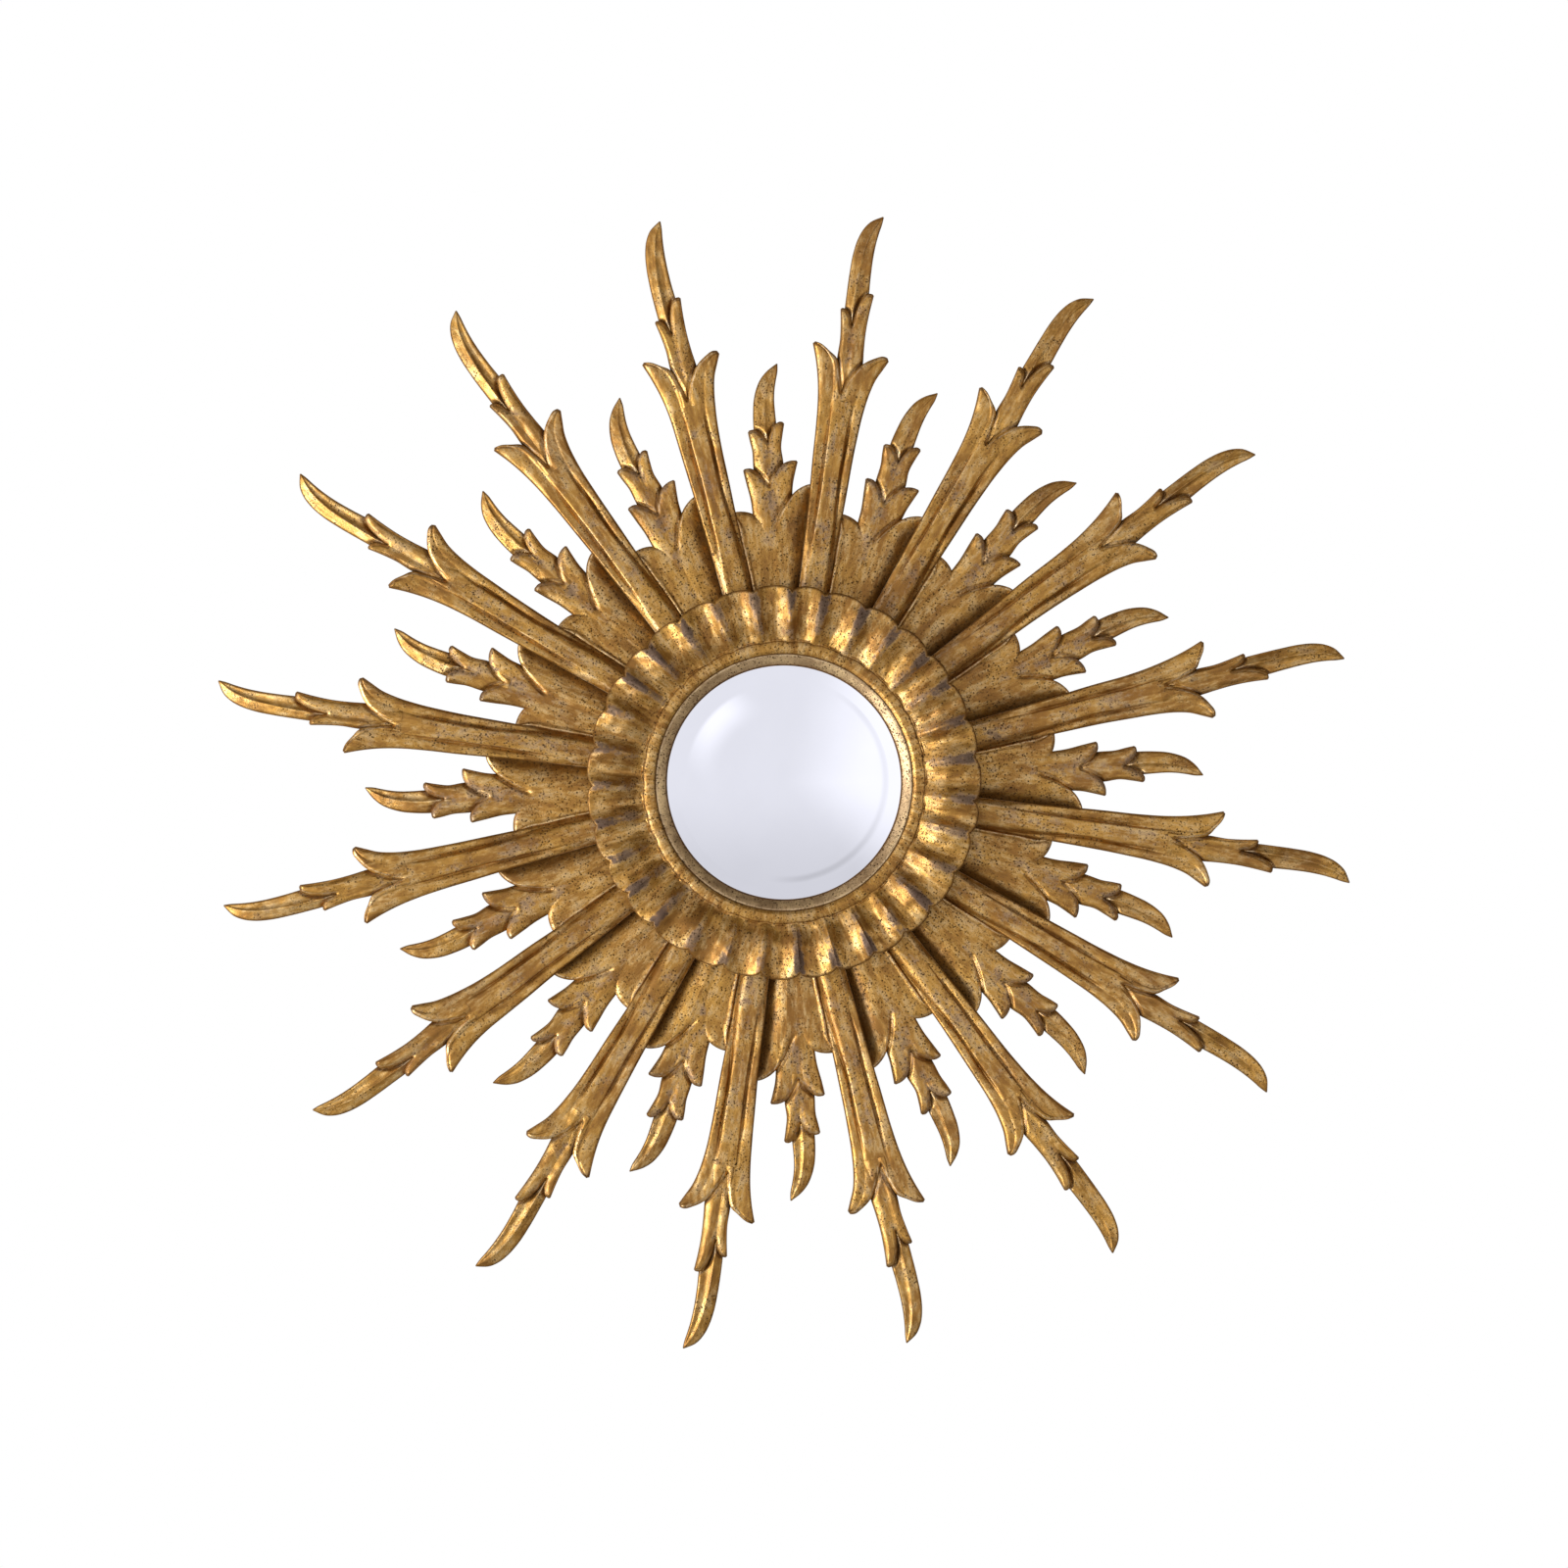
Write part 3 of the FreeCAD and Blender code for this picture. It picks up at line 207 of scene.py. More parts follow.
SHORT_TIERS = [
    {
        "left": {
            "edge": [(-0.358, 0.347), (-0.58, 0.4935), (-0.8, 0.6405)],
            "crease": [(-0.3, 0.347), (-0.335, 0.42), (-0.398, 0.485), (-0.508, 0.564), (-0.592, 0.62), (-0.66, 0.636)],
            "notch": [(-0.088, 0.612), (-0.212, 0.6295), (-0.372, 0.642), (-0.637, 0.646)],
            "section": LOBE_LEFT_SECTION,
        },
        "right": {
            "edge": [(0.358, 0.347), (0.626, 0.5235), (0.894, 0.7)],
            "crease": [(0.1, 0.347), (0.142, 0.499), (0.284, 0.634), (0.45, 0.683), (0.65, 0.6985)],
            "notch": [(0.159, 0.6365), (0.336, 0.6725), (0.531, 0.6945), (0.743, 0.704)],
            "section": LOBE_RIGHT_SECTION,
        },
        "centre": [(0, 0.347), (0, 0.47), (0, 0.592)],
        "thickness": 13.2, "rise": -1.6, "rise_from": 160.0,
        "rows": (44, 30), "back": 0.0, "edge_drop": 2.0, "blunt": 1.0, "merge": 9.0, "far": ("right",),
    },
    {
        "left": {
            "edge": [(-0.319, 0.56), (-0.327, 0.632), (-0.356, 0.6735), (-0.418, 0.713), (-0.469, 0.747)],
            "crease": [(-0.16, 0.56), (-0.19, 0.66), (-0.27, 0.71)],
            "notch": [(-0.159, 0.733), (-0.327, 0.748)],
            "section": BUD_LEFT_SECTION, "root_section": ROOT_BUD_SECTION,
        },
        "right": {
            "edge": [(0.354, 0.56), (0.372, 0.632), (0.398, 0.6735), (0.428, 0.7085), (0.478, 0.735), (0.536, 0.762)],
            "crease": [(0.18, 0.56), (0.2, 0.66), (0.28, 0.72), (0.4, 0.75)],
            "notch": [(0.106, 0.733), (0.248, 0.755), (0.389, 0.762)],
            "section": BUD_RIGHT_SECTION, "root_section": ROOT_BUD_SECTION,
        },
        "centre": [(0, 0.56), (0, 0.64), (0, 0.706)],
        "thickness": 12.0, "rise": 1.0, "rise_from": 188.0, "root_from": (0.695, 0.62),
        "rows": (48, 24), "back": 0.4, "edge_drop": 2.0, "blunt": 1.2,
    },
    {
        "left": {
            "edge": [(-0.265, 0.692), (-0.28, 0.755), (-0.29, 0.792), (-0.326, 0.815), (-0.356, 0.8385)],
            "crease": [(-0.13, 0.692), (-0.15, 0.77), (-0.21, 0.81)],
            "notch": [(-0.088, 0.828), (-0.221, 0.8405)],
            "section": BUD_LEFT_SECTION, "root_section": ROOT_BUD_SECTION,
        },
        "right": {
            "edge": [(0.265, 0.692), (0.269, 0.762), (0.241, 0.7965), (0.276, 0.827), (0.322, 0.855)],
            "crease": [(0.12, 0.692), (0.13, 0.78), (0.18, 0.83)],
            "notch": [(0.062, 0.833), (0.15, 0.851), (0.23, 0.857)],
            "section": BUD_RIGHT_SECTION, "root_section": ROOT_BUD_SECTION,
        },
        "centre": [(0, 0.692), (0, 0.76), (0, 0.8105)],
        "thickness": 12.2, "rise": 0.2, "rise_from": 232.5, "root_from": (0.8, 0.74),
        "rows": (40, 22), "back": 0.8, "edge_drop": 1.8, "blunt": 1.2,
    },
    {
        "left": {
            "edge": [(-0.221, 0.79), (-0.246, 0.848), (-0.232, 0.8825), (-0.202, 0.913), (-0.147, 0.9385),
                     (-0.074, 0.9595), (0.039, 0.978), (0.265, 1)],
            "crease": [(-0.12, 0.79), (-0.137, 0.848), (-0.105, 0.913), (-0.052, 0.9385), (0.06, 0.97)],
            "section": FLAME_LEFT_SECTION,
        },
        "right": {
            "edge": [(0.17, 0.79), (0.175, 0.848), (0.168, 0.8825), (0.17, 0.913), (0.191, 0.9385),
                     (0.223, 0.9595), (0.255, 0.978), (0.265, 1)],
            "crease": [(0.08, 0.79), (0.078, 0.848), (0.078, 0.8825), (0.12, 0.9385), (0.18, 0.968)],
            "section": FLAME_RIGHT_SECTION,
        },
        "centre": [(-0.018, 0.79), (-0.027, 0.848), (-0.018, 0.8825), (0.009, 0.913), (0.044, 0.9385),
                   (0.097, 0.9595), (0.168, 0.978), (0.265, 1)],
        "thickness": 11.6, "rise": -6.4, "rise_from": 272.0,
        "rows": (64, 0), "back": 1.2, "edge_drop": 1.7, "blunt": 0.9,
    },
]

# The fluted ring and the slip: radii and depths of their turned parts
BEAD_INNER, CROWN_INNER, CROWN_OUTER = 102.2, 112.6, 156.4
SKIRT_INNER, SKIRT_OUTER = 105.7, 116.0
RING_BACK, BOARD_FRONT, BEAD_SHOULDER, SLIP_SHOULDER = -35.0, -16.0, -48.5, -45.3
CROWN_CREST = 27.8
# The floor of a flute from the bead to the rim: (share of the width, share of the crest height)
FLUTE_FLOOR = [(0, 0.445), (0.12, 0.53), (0.25, 0.615), (0.4, 0.695), (0.55, 0.742), (0.7, 0.757),
               (0.84, 0.752), (0.94, 0.745), (1, 0.735)]
# The bead from its inner chamfer to the flutes: (share of the width, share of the rise)
BEAD_PROFILE = [(0, 0), (0.2, 0.75), (0.32, 0.95), (0.5, 1), (0.75, 0.8), (1, 0.3)]
# The lip between the bead and the flutes: (step from the flutes' inner radius, rise, rubbed crest that is partly a
# painted highlight)
LIP_PROFILE = [(-0.75, 0.2, 0.1), (-0.45, 0.47, 0.42), (-0.1, 0.42, 0.28)]
# The wall behind the scalloped rim: (step inwards from the rim, depth)
RIM_WALL = [(0.3, -42.0), (1.0, -38.0), (1.8, RING_BACK)]
# Share of the flutes' width that rolls over at the rim, by a millimetre
RIM_ROLL = 0.035
# The back of the ring, from the skirt to the bead: (radius, depth)
RING_BEHIND = [(SKIRT_OUTER, RING_BACK), (SKIRT_OUTER, BOARD_FRONT), (SKIRT_INNER, BOARD_FRONT),
               (SKIRT_INNER, SLIP_SHOULDER), (BEAD_INNER, SLIP_SHOULDER), (BEAD_INNER, BEAD_SHOULDER + 0.3)]
FLUTES = 31
FIRST_RIDGE_ANGLE = 1.7
FLUTE_COLUMNS, CROWN_ROWS, BEAD_ROWS = 24, 44, 15
# Share of the flutes' width at which their rows begin, past the lip
CROWN_START = 0.02
# How flutes differ: shift in pitches, shares of depth and scallop, lean, ridge height in millimetres, leaf on ridges
FLUTE_SHIFT, FLUTE_DEPTH, FLUTE_SCALLOP = (-0.08, 0.08), (-0.25, 0.0), (-0.3, 0.3)
FLUTE_LEAN, RIDGE_RISE, RIDGE_GILT = (-0.16, 0.16), (-1.2, 0.0), (0.0, 0.45)
# The lip swells into each flute about a mean, and carries the bead's outer edge with it
LIP_SWELL, LIP_MEAN, LIP_SWAY, BEAD_SWAY = 1.5, 0.9, 0.75, 0.6
BEAD_CHAMFER, BEAD_MARGIN = 0.25, 1.1
# Radii at which an angle becomes a length for the ripples
FLUTE_MIDDLE, LIP_MIDDLE, BEAD_MIDDLE = 134.0, 113.0, 107.0
SIGHT_RADIUS, SLIP_FACE_RADIUS, SLIP_FLANGE_RADIUS, RABBET_RADIUS = 93.6, 101.9, 105.4, 95.3
GLASS_SEAT, SLIP_LIP_FRONT, SLIP_FACE_FRONT, SLIP_BACK = -42.2, -43.6, -48.2, -37.38
# The back of the slip, from its face to the sight edge: (radius, depth)
SLIP_BEHIND = [(SLIP_FACE_RADIUS, SLIP_SHOULDER), (SLIP_FLANGE_RADIUS, SLIP_SHOULDER), (SLIP_FLANGE_RADIUS, SLIP_BACK),
               (RABBET_RADIUS, SLIP_BACK), (RABBET_RADIUS, GLASS_SEAT), (SIGHT_RADIUS, GLASS_SEAT)]
# How far the slip's face swells, and the roll of its arrises
SLIP_SWELL, SLIP_ARRIS = 0.5, 0.5
GLASS_RADIUS, GLASS_THICKNESS, GLASS_CROWN = 95.0, 3.0, -55.65
GLASS_ARRIS, BEVEL_SOFTNESS = 0.4, 0.3
LATHE_COLUMNS, SLIP_ROWS = 240, 15

# CAD nodes that stay, with the finish of each
HARDWARE = {
    "board": ["backboard"],
    "hardboard": ["back_cover"],
    "softwood": ["glass_spacer"],
    "felt": ["glass_gasket", "wall_bumpers"],
    "brass": ["turn_button_1", "turn_button_2", "turn_button_3", "turn_button_4", "turn_button_screws"],
    "steel": ["hanger_strap", "hanger_ring", "hanger_screws", "ray_screws", "ring_screws"],
}
# Thickness of two plies in metres, and the radians to a metre of the hardboard's screen
PLY_PAIR, SCREEN_RATE = 0.003, 2400.0

# The lamps: colour, places and sizes in metres
LAMP_COLOUR = (0.94, 0.98, 1.0)
KEY_PLACE, KEY_SIZE = (-2.0, -1.5, -0.7), (1.3, 1.4)
FILL_PLACE, FILL_SIZE = (2.2, -1.7, 0.1), (1.2, 1.6)


# Curves and small helpers
def path_length(points):
    """Running length along a line of points."""
    steps = np.linalg.norm(np.diff(points, axis=0), axis=1)
    return np.concatenate([[0.0], np.cumsum(steps)])


def smooth_curve(points, scale=1.0, count=320):
    """A cubic through scaled points: each span is a Hermite cubic between the points' chord-length gradients."""
    knots = np.asarray(points, float) * scale
    chord = path_length(knots)
    slopes = np.gradient(knots, chord, axis=0)
    place = np.linspace(0, chord[-1], count)
    span = np.clip(np.searchsorted(chord, place, side="right") - 1, 0, len(knots) - 2)
    size = (chord[span + 1] - chord[span])[:, None]
    t = (place - chord[span])[:, None] / size
    start, end = knots[span], knots[span + 1]
    bend = slopes[span] * (t ** 3 - 2 * t ** 2 + t) + slopes[span + 1] * (t ** 3 - t ** 2)
    return start * (2 * t ** 3 - 3 * t ** 2 + 1) + end * (3 * t ** 2 - 2 * t ** 3) + size * bend


def walk(curve, shares):
    """Points at shares of a curve's length."""
    run = path_length(curve)
    return np.stack([np.interp(np.asarray(shares) * run[-1], run, curve[:, axis]) for axis in (0, 1)], axis=-1)


def share_at_level(curve, level):
    """The share of a rising curve's length at which it reaches a level."""
    run = path_length(curve)
    return float(np.interp(level, curve[:, 1], run / run[-1]))


def crowded(shares):
    """Shares from 0 to 1, drawn towards 1."""
    return 1 - (1 - shares) ** TIP_CROWDING


def ramp(low, high, value):
    """0 below low, 1 above high and a straight line between them."""
    return np.clip((value - low) / (high - low), 0, 1)


def ease(low, high, value):
    """0 below low, 1 above high and a smooth step between them."""
    t = ramp(low, high, value)
    return t * t * (3 - 2 * t)


def bell(value, centre, width):
    """1 at the centre, falling to 1/e at a width from it."""
    return np.exp(-((value - centre) / width) ** 2)


def decay(gap, reach):
    """1 at no gap, falling to 1/e at the reach."""
    return np.exp(-gap / reach)


def rolled(gap, width):
    """A quarter round: 1 at the edge, falling to 0 at a width from it."""
    return 1 - np.sqrt(1 - np.clip(1 - gap / width, 0, 1) ** 2)


def distance_to(points, *curves):
    """How far each point of an array is from the nearest of some curves."""
    gap = points[..., None, :] - np.concatenate(curves)
    return np.sqrt((gap ** 2).sum(-1).min(-1))


def section_at(table, place):
    """Level, hollow, crest and wear across a section; the level runs smoothly through the table's points."""
    table = np.array([tuple(row) + (0,) * (5 - len(row)) for row in table], float)
    level = smooth_curve(table[:, :2], count=600)
    return [np.interp(place, *level.T)] + [np.interp(place, table[:, 0], table[:, column]) for column in (2, 3, 4)]


def ripple(along, across, rng, waves, length, size):
    """A sum of sine waves with random directions, phases and lengths near the given one."""
    turn = rng.uniform(0, 2 * np.pi, (3, waves))
    pitch = 2 * np.pi / (length * rng.uniform(0.7, 1.5, waves))
    heading = along[..., None] * np.cos(turn[0]) + across[..., None] * np.sin(turn[0])
    return size * np.sin(heading * pitch + turn[1]).sum(-1) / math.sqrt(waves)


# Meshes from grids
def take(items, name):
    """A vector of every vertex, face or attribute value, as rows of an array."""
    flat = np.empty(len(items) * 3, np.float32)
    items.foreach_get(name, flat)
    return flat.reshape(-1, 3)


def put(items, name, values, kind=np.float32):
    """Set a value of every vertex, face, loop or attribute from an array."""
    items.foreach_set(name, np.asarray(values, kind).ravel())


class Shell:
    """Grids of points that are sewn into one closed mesh, with two attributes for the finish.

    Relief holds (hollow, crest, wear): darkening by grime and painted shade, brightening by rubbing and a painted
    highlight, and wear. Brush holds the place in metres, shortened along the brush strokes.
    """

    def __init__(self):
        self.points, self.relief, self.brush, self.faces, self.caps, self.size = [], [], [], [], [], 0

    def grid(self, points, relief, brush=None, wrap_rows=False, wrap_columns=False):
        """Add a grid of shape (rows, columns, 3) and return its vertex numbers."""
        rows, columns = points.shape[:2]
        index = self.size + np.arange(rows * columns).reshape(rows, columns)
        down = np.roll(index, -1, axis=0) if wrap_rows else index[1:]
        here = index if wrap_rows else index[:-1]
        if wrap_columns:
            corners = (here, np.roll(here, -1, axis=1), np.roll(down, -1, axis=1), down)
        else:
            corners = (here[:, :-1], here[:, 1:], down[:, 1:], down[:, :-1])
        self.faces.append(np.stack(corners, axis=-1).reshape(-1, 4))
        self.points.append(points.reshape(-1, 3))
        self.relief.append(np.broadcast_to(relief, points.shape).reshape(-1, 3))
        stroke = points * (1, 1, STROKE) if brush is None else brush
        self.brush.append(stroke.reshape(-1, 3))
        self.size += rows * columns
        return index

    def cap(self, numbers):
        """Close a loop of vertices with one face."""
        self.caps.append([int(number) for number in numbers])

    def mesh(self, name):
        """The mesh in metres, with coincident points merged and faces turned outwards."""
        made = bpy.data.meshes.new(name)
        points, faces, relief = (np.concatenate(part) for part in (self.points, self.faces, self.relief))
        made.vertices.add(len(points))
        put(made.vertices, "co", points * MM)
        made.loops.add(faces.size)
        put(made.loops, "vertex_index", faces, np.int32)
        made.polygons.add(len(faces))
        put(made.polygons, "loop_start", np.arange(0, faces.size, 4), np.int32)
        tint = made.attributes.new("relief", "FLOAT_COLOR", "POINT")
        put(tint.data, "color", np.column_stack([relief, np.ones(len(relief))]))
        stroke = made.attributes.new("brush", "FLOAT_VECTOR", "POINT")
        put(stroke.data, "vector", np.concatenate(self.brush) * MM)
        made.update(calc_edges=True)
        work = bmesh.new()
        work.from_mesh(made)
        work.verts.ensure_lookup_table()
        for cap in self.caps:
            work.faces.new([work.verts[number] for number in cap])
        bmesh.ops.remove_doubles(work, verts=work.verts, dist=MERGE_DISTANCE)
        bmesh.ops.dissolve_degenerate(work, edges=work.edges, dist=SLIVER)
        bmesh.ops.recalc_face_normals(work, faces=work.faces)
        work.to_mesh(made)
        work.free()
        return made


def finish_mesh(mesh, materials, sharp_angle=48):
    """Smooth shading up to an angle; the faces that look backwards take the last material."""
    for material in materials:
        mesh.materials.append(material)
    behind = take(mesh.polygons, "normal")[:, 1] > BACKWARDS
    put(mesh.polygons, "use_smooth", np.ones_like(behind), bool)
    put(mesh.polygons, "material_index", np.where(behind, len(materials) - 1, 0), np.int32)
    mesh.set_sharp_from_angle(angle=math.radians(sharp_angle))
    mesh.update()


def in_scene(name, data):
    """A new object in the scene."""
    made = bpy.data.objects.new(name, data)
    bpy.context.scene.collection.objects.link(made)
    return made


def add_piece(name, mesh, slot, *nodes):
    """Put a finished mesh in the scene on the mirror's body, in place of its CAD nodes."""
    piece = in_scene(name, mesh)
    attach(piece, MAIN_BODY)
    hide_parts(*nodes)


# Carved rays
def notch_curve(side, tier, scale):
    """The notch of one side of a tier, from the fork to the leaf's tip."""
    return smooth_curve(tier["centre"][-1:] + side["notch"] + side["edge"][-1:], scale)


def half_tier(side, tier, scale, carving, under):
    """One side of a tier as arrays of (across, along) points, heights and relief.

    Rows run from the foot to the leaf's blunt tip and columns from the outer edge over the crease to the centre
    line, and past the fork to the notch. Height is thickness times the section's level, less a quarter round
    of the distance to the outline and a chamfer along the notch. A tier also slopes down to the notch below it.
    """
    lines = (side["edge"], side["crease"] + side["edge"][-1:], tier["centre"])
    edge, crease, centre = (smooth_curve(line, scale) for line in lines)
    stem_rows, leaf_rows = tier["rows"]
    fork = centre[-1]
    stem = np.linspace(0, 1, stem_rows)

    def end_share(curve):
        return 1 - tier["blunt"] / path_length(curve)[-1]

    if leaf_rows:
        notch = notch_curve(side, tier, scale)
        leaf = crowded(np.linspace(0, 1, leaf_rows + 1)[1:])
        lines = []
        for curve in (edge, crease):
            split = share_at_level(curve, fork[1])
            lines.append(walk(curve, np.concatenate([stem * split, split + leaf * (end_share(curve) - split)])))
        lines.append(np.concatenate([walk(centre, stem), walk(notch, leaf * end_share(notch))]))
    else:
        lines = [walk(curve, crowded(stem) * end_share(curve)) for curve in (edge, crease, centre)]
    outer, middle, inner = (line[:, None, :] for line in lines)
    first, second = (np.clip(ACROSS - start, 0, 1)[None, :, None] for start in (0, 1))
    places = outer + (middle - outer) * first + (inner - middle) * second

    along = places[..., 1]
    thickness = tier["thickness"] + tier["rise"] * ramp(tier["rise_from"], edge[:, 1].max(), along)
    shape = [np.broadcast_to(row, along.shape) for row in section_at(side["section"], ACROSS)]
    outline = 1.0
    for part in ("root", "leaf"):
        if part + "_section" in side:
            low, high = (level * scale[1] for level in side.get(part + "_from") or tier[part + "_from"])
            blend = ease(low, high, along)
            shape = [a + (b - a) * blend for a, b in zip(shape, section_at(side[part + "_section"], ACROSS))]
            outline = 1 - blend if part == "root" and "tongue" in tier else outline
    level, hollow, crest, worn = shape
    narrow = ease(0, NARROW_LEAF, np.linalg.norm(outer - inner, axis=-1))
    level = FLAT_LEVEL + (level - FLAT_LEVEL) * narrow

    width, drop = carving.chamfer_width / MM, carving.chamfer_depth / MM
    tip = np.linspace(lines[0][-1], lines[2][-1], TIP_POINTS)
    gap = distance_to(places, edge, tip)
    gap[:, 0] = gap[-1] = 0
    height = thickness * level - tier["edge_drop"] * rolled(gap, carving.edge_round / MM)
    # Painted shade round the outline, fading towards a long ray's root
    hollow = hollow + OUTLINE_SHADE * outline * bell(gap, 0, OUTLINE_REACH)
    if leaf_rows:
        merged = ease(0, tier.get("merge", SHARP_FORK), np.linalg.norm(places - fork, axis=-1))
        # Darker towards the tip
        hollow = hollow + TIP_DARKENING * bell(distance_to(places, tip), 0, TIP_REACH)
        cut = distance_to(places, notch)
        cut[stem_rows:, -1] = 0
        height = height - drop * np.clip(1 - cut / width, 0, 1) * merged
        # Painted shade in the notch, and a painted highlight along its chamfer
        hollow = hollow + NOTCH_SHADE * merged * (1 - ease(0, NOTCH_REACH, cut))
        crest = crest + NOTCH_RUB_AND_SHEEN * merged * bell(cut / width, *NOTCH_BAND)
    if under:
        curves, lower_fork, merge = under
        apart = ease(0, merge, np.linalg.norm(places - lower_fork, axis=-1))
        beyond = distance_to(places, *curves)
        height = height - STEP_DEPTH * drop * apart * np.clip(1 - beyond / width, 0, 1)
        # Painted shade at the foot of the step down to the notch below, and a painted highlight along its slope
        hollow = hollow + STEP_SHADE * apart * decay(beyond, STEP_REACH)
        crest = crest + STEP_RUB_AND_SHEEN * apart * bell(beyond / width, *STEP_BAND)
    return places, height, np.clip(np.stack([hollow, crest * narrow, worn * narrow], axis=-1), 0, 1)


def add_tier(shell, tier, scale, carving, under):
    """Both sides of a tier as one closed shell: the carved front, the walls round it, its flat back, foot and tips."""
    stem_rows, leaf_rows = tier["rows"]
    for name in ("left", "right"):
        places, height, relief = half_tier(tier[name], tier, scale, carving, under)
        points = np.stack([places[..., 0], -height, places[..., 1]], axis=-1)
        flat = points.copy()
        flat[..., 1] = -tier["back"]
        # The walls take the front's relief at their top and a share of it at their foot: painted shade on the walls
        foot = relief * WALL_FOOT_SHADE
        walls, wall_relief = np.stack([points, flat], axis=2), np.stack([relief, foot], axis=2)
        front = shell.grid(points, relief)
        shell.grid(walls[:, 0], wall_relief[:, 0])
        back = shell.grid(flat[:, [0, -1]], foot[:, [0, -1]])
        if leaf_rows:
            shell.grid(walls[stem_rows - 1:, -1], wall_relief[stem_rows - 1:, -1])
        for row in (0, -1):
            shell.cap(list(front[row]) + [back[row, 1], back[row, 0]])


def carved_ray(name, tiers, spread, reach, carving, tongue=None):
    """A whole ray at the top of the mirror, as a mesh whose back lies in the plane y = 0."""
    shell = Shell()
    scale = np.array([spread, reach])
    under = None
    for tier in tiers:
        add_tier(shell, tier, scale, carving, under)
        if tier["rows"][1]:
            curves = [notch_curve(tier[side], tier, scale) for side in tier.get("far", ("left", "right"))]
            under = (curves, np.array(tier["centre"][-1]) * scale, tier.get("merge", SHARP_FORK))
    if tongue:
        width, length, depth = tongue
        corner_x = np.array([-1, 1, 1, -1]) * width / 2
        corner_y = np.array([-TONGUE_SINK, -TONGUE_SINK, depth, depth])
        ends = np.array([RAY_ROOT, RAY_ROOT + length])
        points = np.stack(np.broadcast_arrays(corner_x, corner_y, ends[:, None]), axis=-1)
        for end in shell.grid(points, TONGUE_RELIEF, wrap_columns=True):
            shell.cap(end)
    return shell.mesh(name)


def placed_ray(template, name, angle, back, reach, carving, seed):
    """A copy of a ray turned to its angle, with its own small bend, waviness and length.

    x becomes u cos a + r sin a and z becomes r cos a - u sin a; the front ripples, the flat back doesn't.
    """
    rng = np.random.default_rng(seed)
    mesh = template.copy()
    mesh.name = name
    u, y, r = (take(mesh.vertices, "co") / MM).astype(float).T
    out = ramp(RING_SEAT_RADIUS, reach, r)
    size = carving.unevenness / MM
    lift = ripple(r, u, rng, waves=6, length=26, size=size) + ripple(r, u, rng, waves=6, length=9, size=size * 0.35)
    y = y - lift * ramp(0, RIPPLE_DEPTH, -y) * np.clip(out * RIPPLE_START, 0, 1)
    bend = rng.uniform(-1, 1) * carving.bend / MM
    shorten = rng.uniform(0.0, 1.0) * carving.length_spread / MM
    sway = ripple(r, r * 0, rng, waves=3, length=70, size=size * 1.1) * np.clip(out * SWAY_START, 0, 1)
    u = u + bend * out ** 2 + sway
    r = r - (shorten + TIP_ROOM + BEND_ROOM * abs(bend)) * out ** 2
    strokes = mesh.attributes["brush"].data
    put(strokes, "vector", take(strokes, "vector") + rng.uniform(-1, 1, 3))
    turn = math.radians(angle)
    x = u * math.cos(turn) + r * math.sin(turn)
    z = r * math.cos(turn) - u * math.sin(turn)
    put(mesh.vertices, "co", np.column_stack([x, y + back, z]) * MM)
    mesh.update()
    return mesh


# The ring, the slip and the glass
def carried_round(radius, depth, angle):
    """Points of a profile at angles clockwise from the top: x is r sin a, y is the depth and z is r cos a."""
    return np.stack(np.broadcast_arrays(radius * np.sin(angle), depth, radius * np.cos(angle)), axis=-1)


